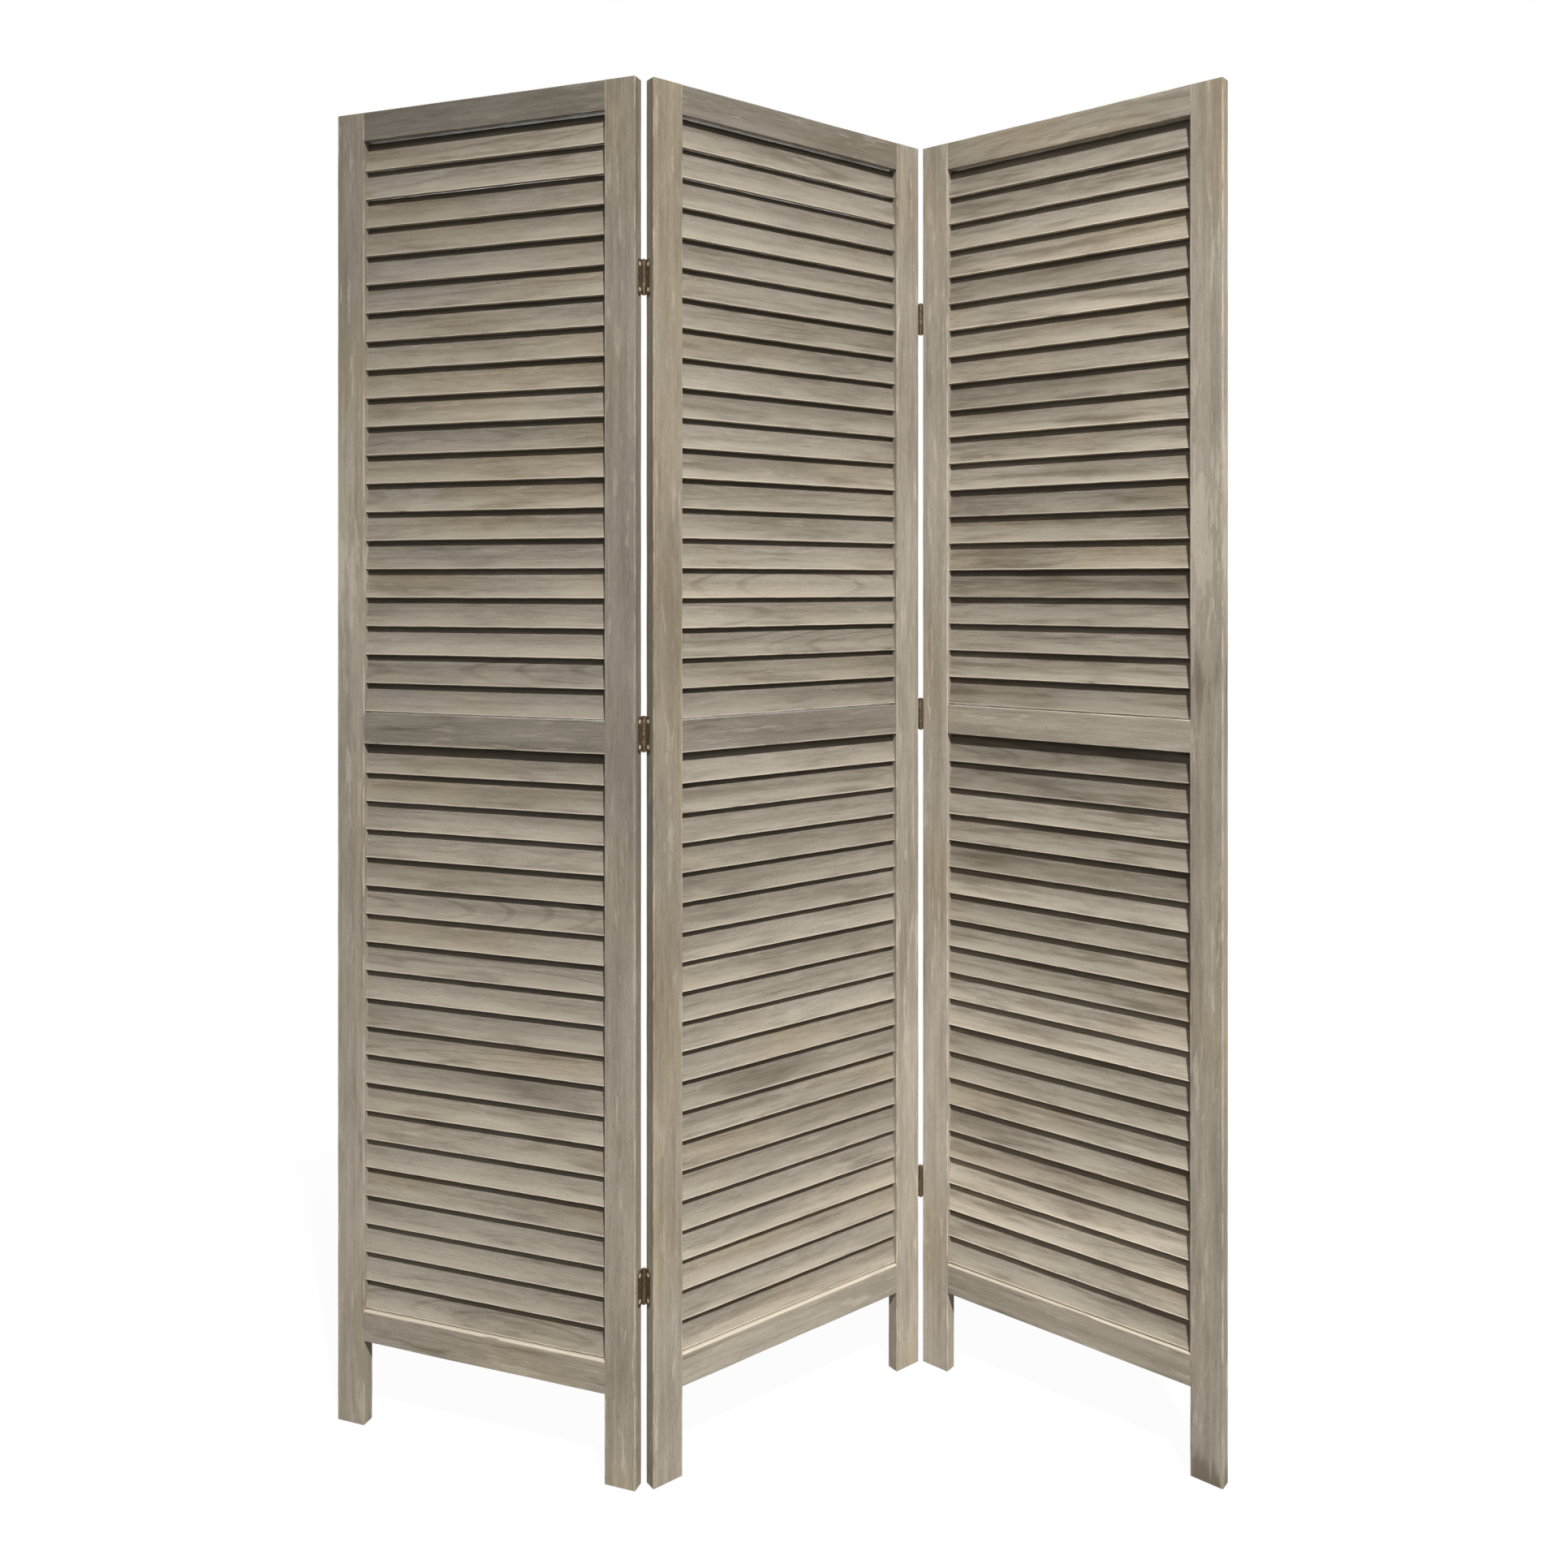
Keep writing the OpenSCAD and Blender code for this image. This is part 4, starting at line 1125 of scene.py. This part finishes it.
beech, beech_tree, beech_output = new_material("turned_beech")
beech_place = add(beech_tree, "ShaderNodeTexCoord").outputs["Object"]
beech_flecks = add(beech_tree, "ShaderNodeTexNoise",
                   {"Vector": beech_place, "Scale": FLECKS_IN_METRE, "Detail": 2.0})
beech_flecks = add(beech_tree, "ShaderNodeMapRange", (beech_flecks, *FLECK_EDGE), **SMOOTH)
beech_colour = add(beech_tree, "ShaderNodeMix",
                   {0: beech_flecks, 6: BEECH_COLOUR, 7: FLECK_COLOUR}, data_type="RGBA")
beech_wood = add(beech_tree, "ShaderNodeBsdfPrincipled",
                 {"Base Color": beech_colour, "Roughness": 0.6})
beech_tree.links.new(beech_wood.outputs[0], beech_output.inputs["Surface"])
for name, node in frame["nodes"].items():
    if name.endswith("_dowels"):
        node.data.materials.clear()
        node.data.materials.append(beech)
print("dowel nodes finished")

# %% [markdown]
# ## Screws
# Every leaf is held by two small countersunk screws with a cross recess. The same screw
# repeats twenty-four times, so Geometry Nodes make it: a cone for the head, less two crossed
# blades for the recess, and a thin shank below. It is copied onto a few points, one for each
# screw hole of a panel's edge, and turned to face out of that edge.

# %% Screw tree
HINGES = ("upper", "middle", "lower")
SCREW_HEAD = 0.0052
SCREW_SHANK = 0.0028
SCREW_LENGTH = 0.013
LEAF_THICKNESS = 0.0012
RECESS_WIDTH = 0.0007
RECESS_LENGTH = 0.0032
RECESS_DEPTH = 0.0008
HEAD_SIDES = 24              # faces round a head
SHANK_SIDES = 12             # faces round a shank

screw_tree, screw_in = new_geometry_tree("cross_head_screws", {
    "Head Diameter": "Float", "Shank Diameter": "Float", "Head Height": "Float",
    "Shank Length": "Float", "Recess Width": "Float", "Recess Length": "Float",
    "Recess Depth": "Float", "Facing": "Vector", "Metal": "Material",
})
head_radius, shank_radius, blade_depth, shank_middle = (
    add(screw_tree, "ShaderNodeMath", (screw_in[label], factor), operation="MULTIPLY")
    for label, factor in (("Head Diameter", 0.5), ("Shank Diameter", 0.5),
                          ("Recess Depth", 2.0), ("Shank Length", -0.5)))
head = add(screw_tree, "GeometryNodeMeshCone",
           {"Vertices": HEAD_SIDES, "Radius Top": head_radius,
            "Radius Bottom": shank_radius, "Depth": screw_in["Head Height"]})
blade_size = add(screw_tree, "ShaderNodeCombineXYZ",
                 (screw_in["Recess Length"], screw_in["Recess Width"], blade_depth))
blade = add(screw_tree, "GeometryNodeMeshCube", {"Size": blade_size})
blade_place = add(screw_tree, "ShaderNodeCombineXYZ", {2: screw_in["Head Height"]})
recess = add(screw_tree, "GeometryNodeMeshBoolean", operation="UNION", solver="EXACT")
for turned_by in (0.0, math.pi / 2):
    turned = add(screw_tree, "GeometryNodeTransform",
                 {"Geometry": blade, "Translation": blade_place,
                  "Rotation": (0.0, 0.0, turned_by)})
    screw_tree.links.new(turned.outputs[0], recess.inputs["Mesh 2"])
head = add(screw_tree, "GeometryNodeMeshBoolean", {"Mesh 1": head, "Mesh 2": recess},
           operation="DIFFERENCE", solver="EXACT")
shank_place = add(screw_tree, "ShaderNodeCombineXYZ", {2: shank_middle})
shank = add(screw_tree, "GeometryNodeMeshCylinder",
            {"Vertices": SHANK_SIDES, "Radius": shank_radius,
             "Depth": screw_in["Shank Length"]})
shank = add(screw_tree, "GeometryNodeTransform",
            {"Geometry": shank, "Translation": shank_place})
screw = add(screw_tree, "GeometryNodeJoinGeometry")
for part in (head, shank):
    screw_tree.links.new(part.outputs[0], screw.inputs[0])
screws = add(screw_tree, "GeometryNodeInstanceOnPoints",
             {"Points": screw_in["Geometry"], "Instance": screw,
              "Rotation": screw_in["Facing"]})
screws = add(screw_tree, "GeometryNodeRealizeInstances", {"Geometry": screws})
screws = add(screw_tree, "GeometryNodeSetMaterial",
             {"Geometry": screws, "Material": screw_in["Metal"]})
add(screw_tree, "NodeGroupOutput", (screws,))
print("screw tree has", len(screw_tree.nodes), "nodes")

# %% Drive the screws
LEAF_HEIGHT = 0.043
SCREW_END_INSET = 0.006      # from a leaf's end to its nearer screw
SCREW_DEPTH = 0.0067         # from the panel's face that carries the barrel

# The screws are brass painted a paler cream than brass, as a painted highlight that makes their
# heads look as bright as glinting metal.
screw_metal = mottled_metal("brass_screw_with_painted_highlight", colours=("#E3D7BC", "#F6EFDE"),
                            patch_size=0.002, patch_edge=(0.35, 0.60),
                            roughness=(0.34, 0.22), metallic=HIGHLIGHT_SCREW_METALLIC)


def drive_screws(node, panel, side, hinge_line, barrel_behind):
    """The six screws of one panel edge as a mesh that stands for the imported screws."""
    points = []
    for level in HINGES:
        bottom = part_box(f"{hinge_line}_hinge_{level}_{panel}_leaf")[0].z
        for height in (SCREW_END_INSET, LEAF_HEIGHT - SCREW_END_INSET):
            v = FRAME_THICKNESS - SCREW_DEPTH if barrel_behind else SCREW_DEPTH
            u = 0.0 if side == "left" else PANEL_WIDTH
            points.append((u, v, bottom + height))
    start = bpy.data.meshes.new(f"{node}_holes")
    start.from_pydata(points, [], [])
    piece = bpy.data.objects.new(f"{node}_set", start)
    scene.collection.objects.link(piece)
    modifier = piece.modifiers.new("screws", "NODES")
    modifier.node_group = screw_tree
    facing = -90 if side == "left" else 90
    set_inputs(modifier, {
        "Head Diameter": SCREW_HEAD, "Shank Diameter": SCREW_SHANK,
        "Head Height": LEAF_THICKNESS, "Shank Length": SCREW_LENGTH,
        "Recess Width": RECESS_WIDTH, "Recess Length": RECESS_LENGTH,
        "Recess Depth": RECESS_DEPTH, "Facing": (0.0, math.radians(facing), 0.0),
        "Metal": screw_metal,
    })
    plain_mesh(piece).transform(PLACES[panel])
    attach(piece, f"{panel}_panel")
    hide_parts(node)
    return piece


for arguments in (
    ("left_panel_hinge_screws", "left", "right", "left", True),
    ("centre_panel_left_hinge_screws", "centre", "left", "left", True),
    ("centre_panel_right_hinge_screws", "centre", "right", "right", False),
    ("right_panel_hinge_screws", "right", "left", "right", False),
):
    piece = drive_screws(*arguments)
    print(piece.name, "differs by", round(box_difference(piece, arguments[0]) * 1000, 2), "mm")

# %% [markdown]
# ## Finish

# %% Finish
print("finished")
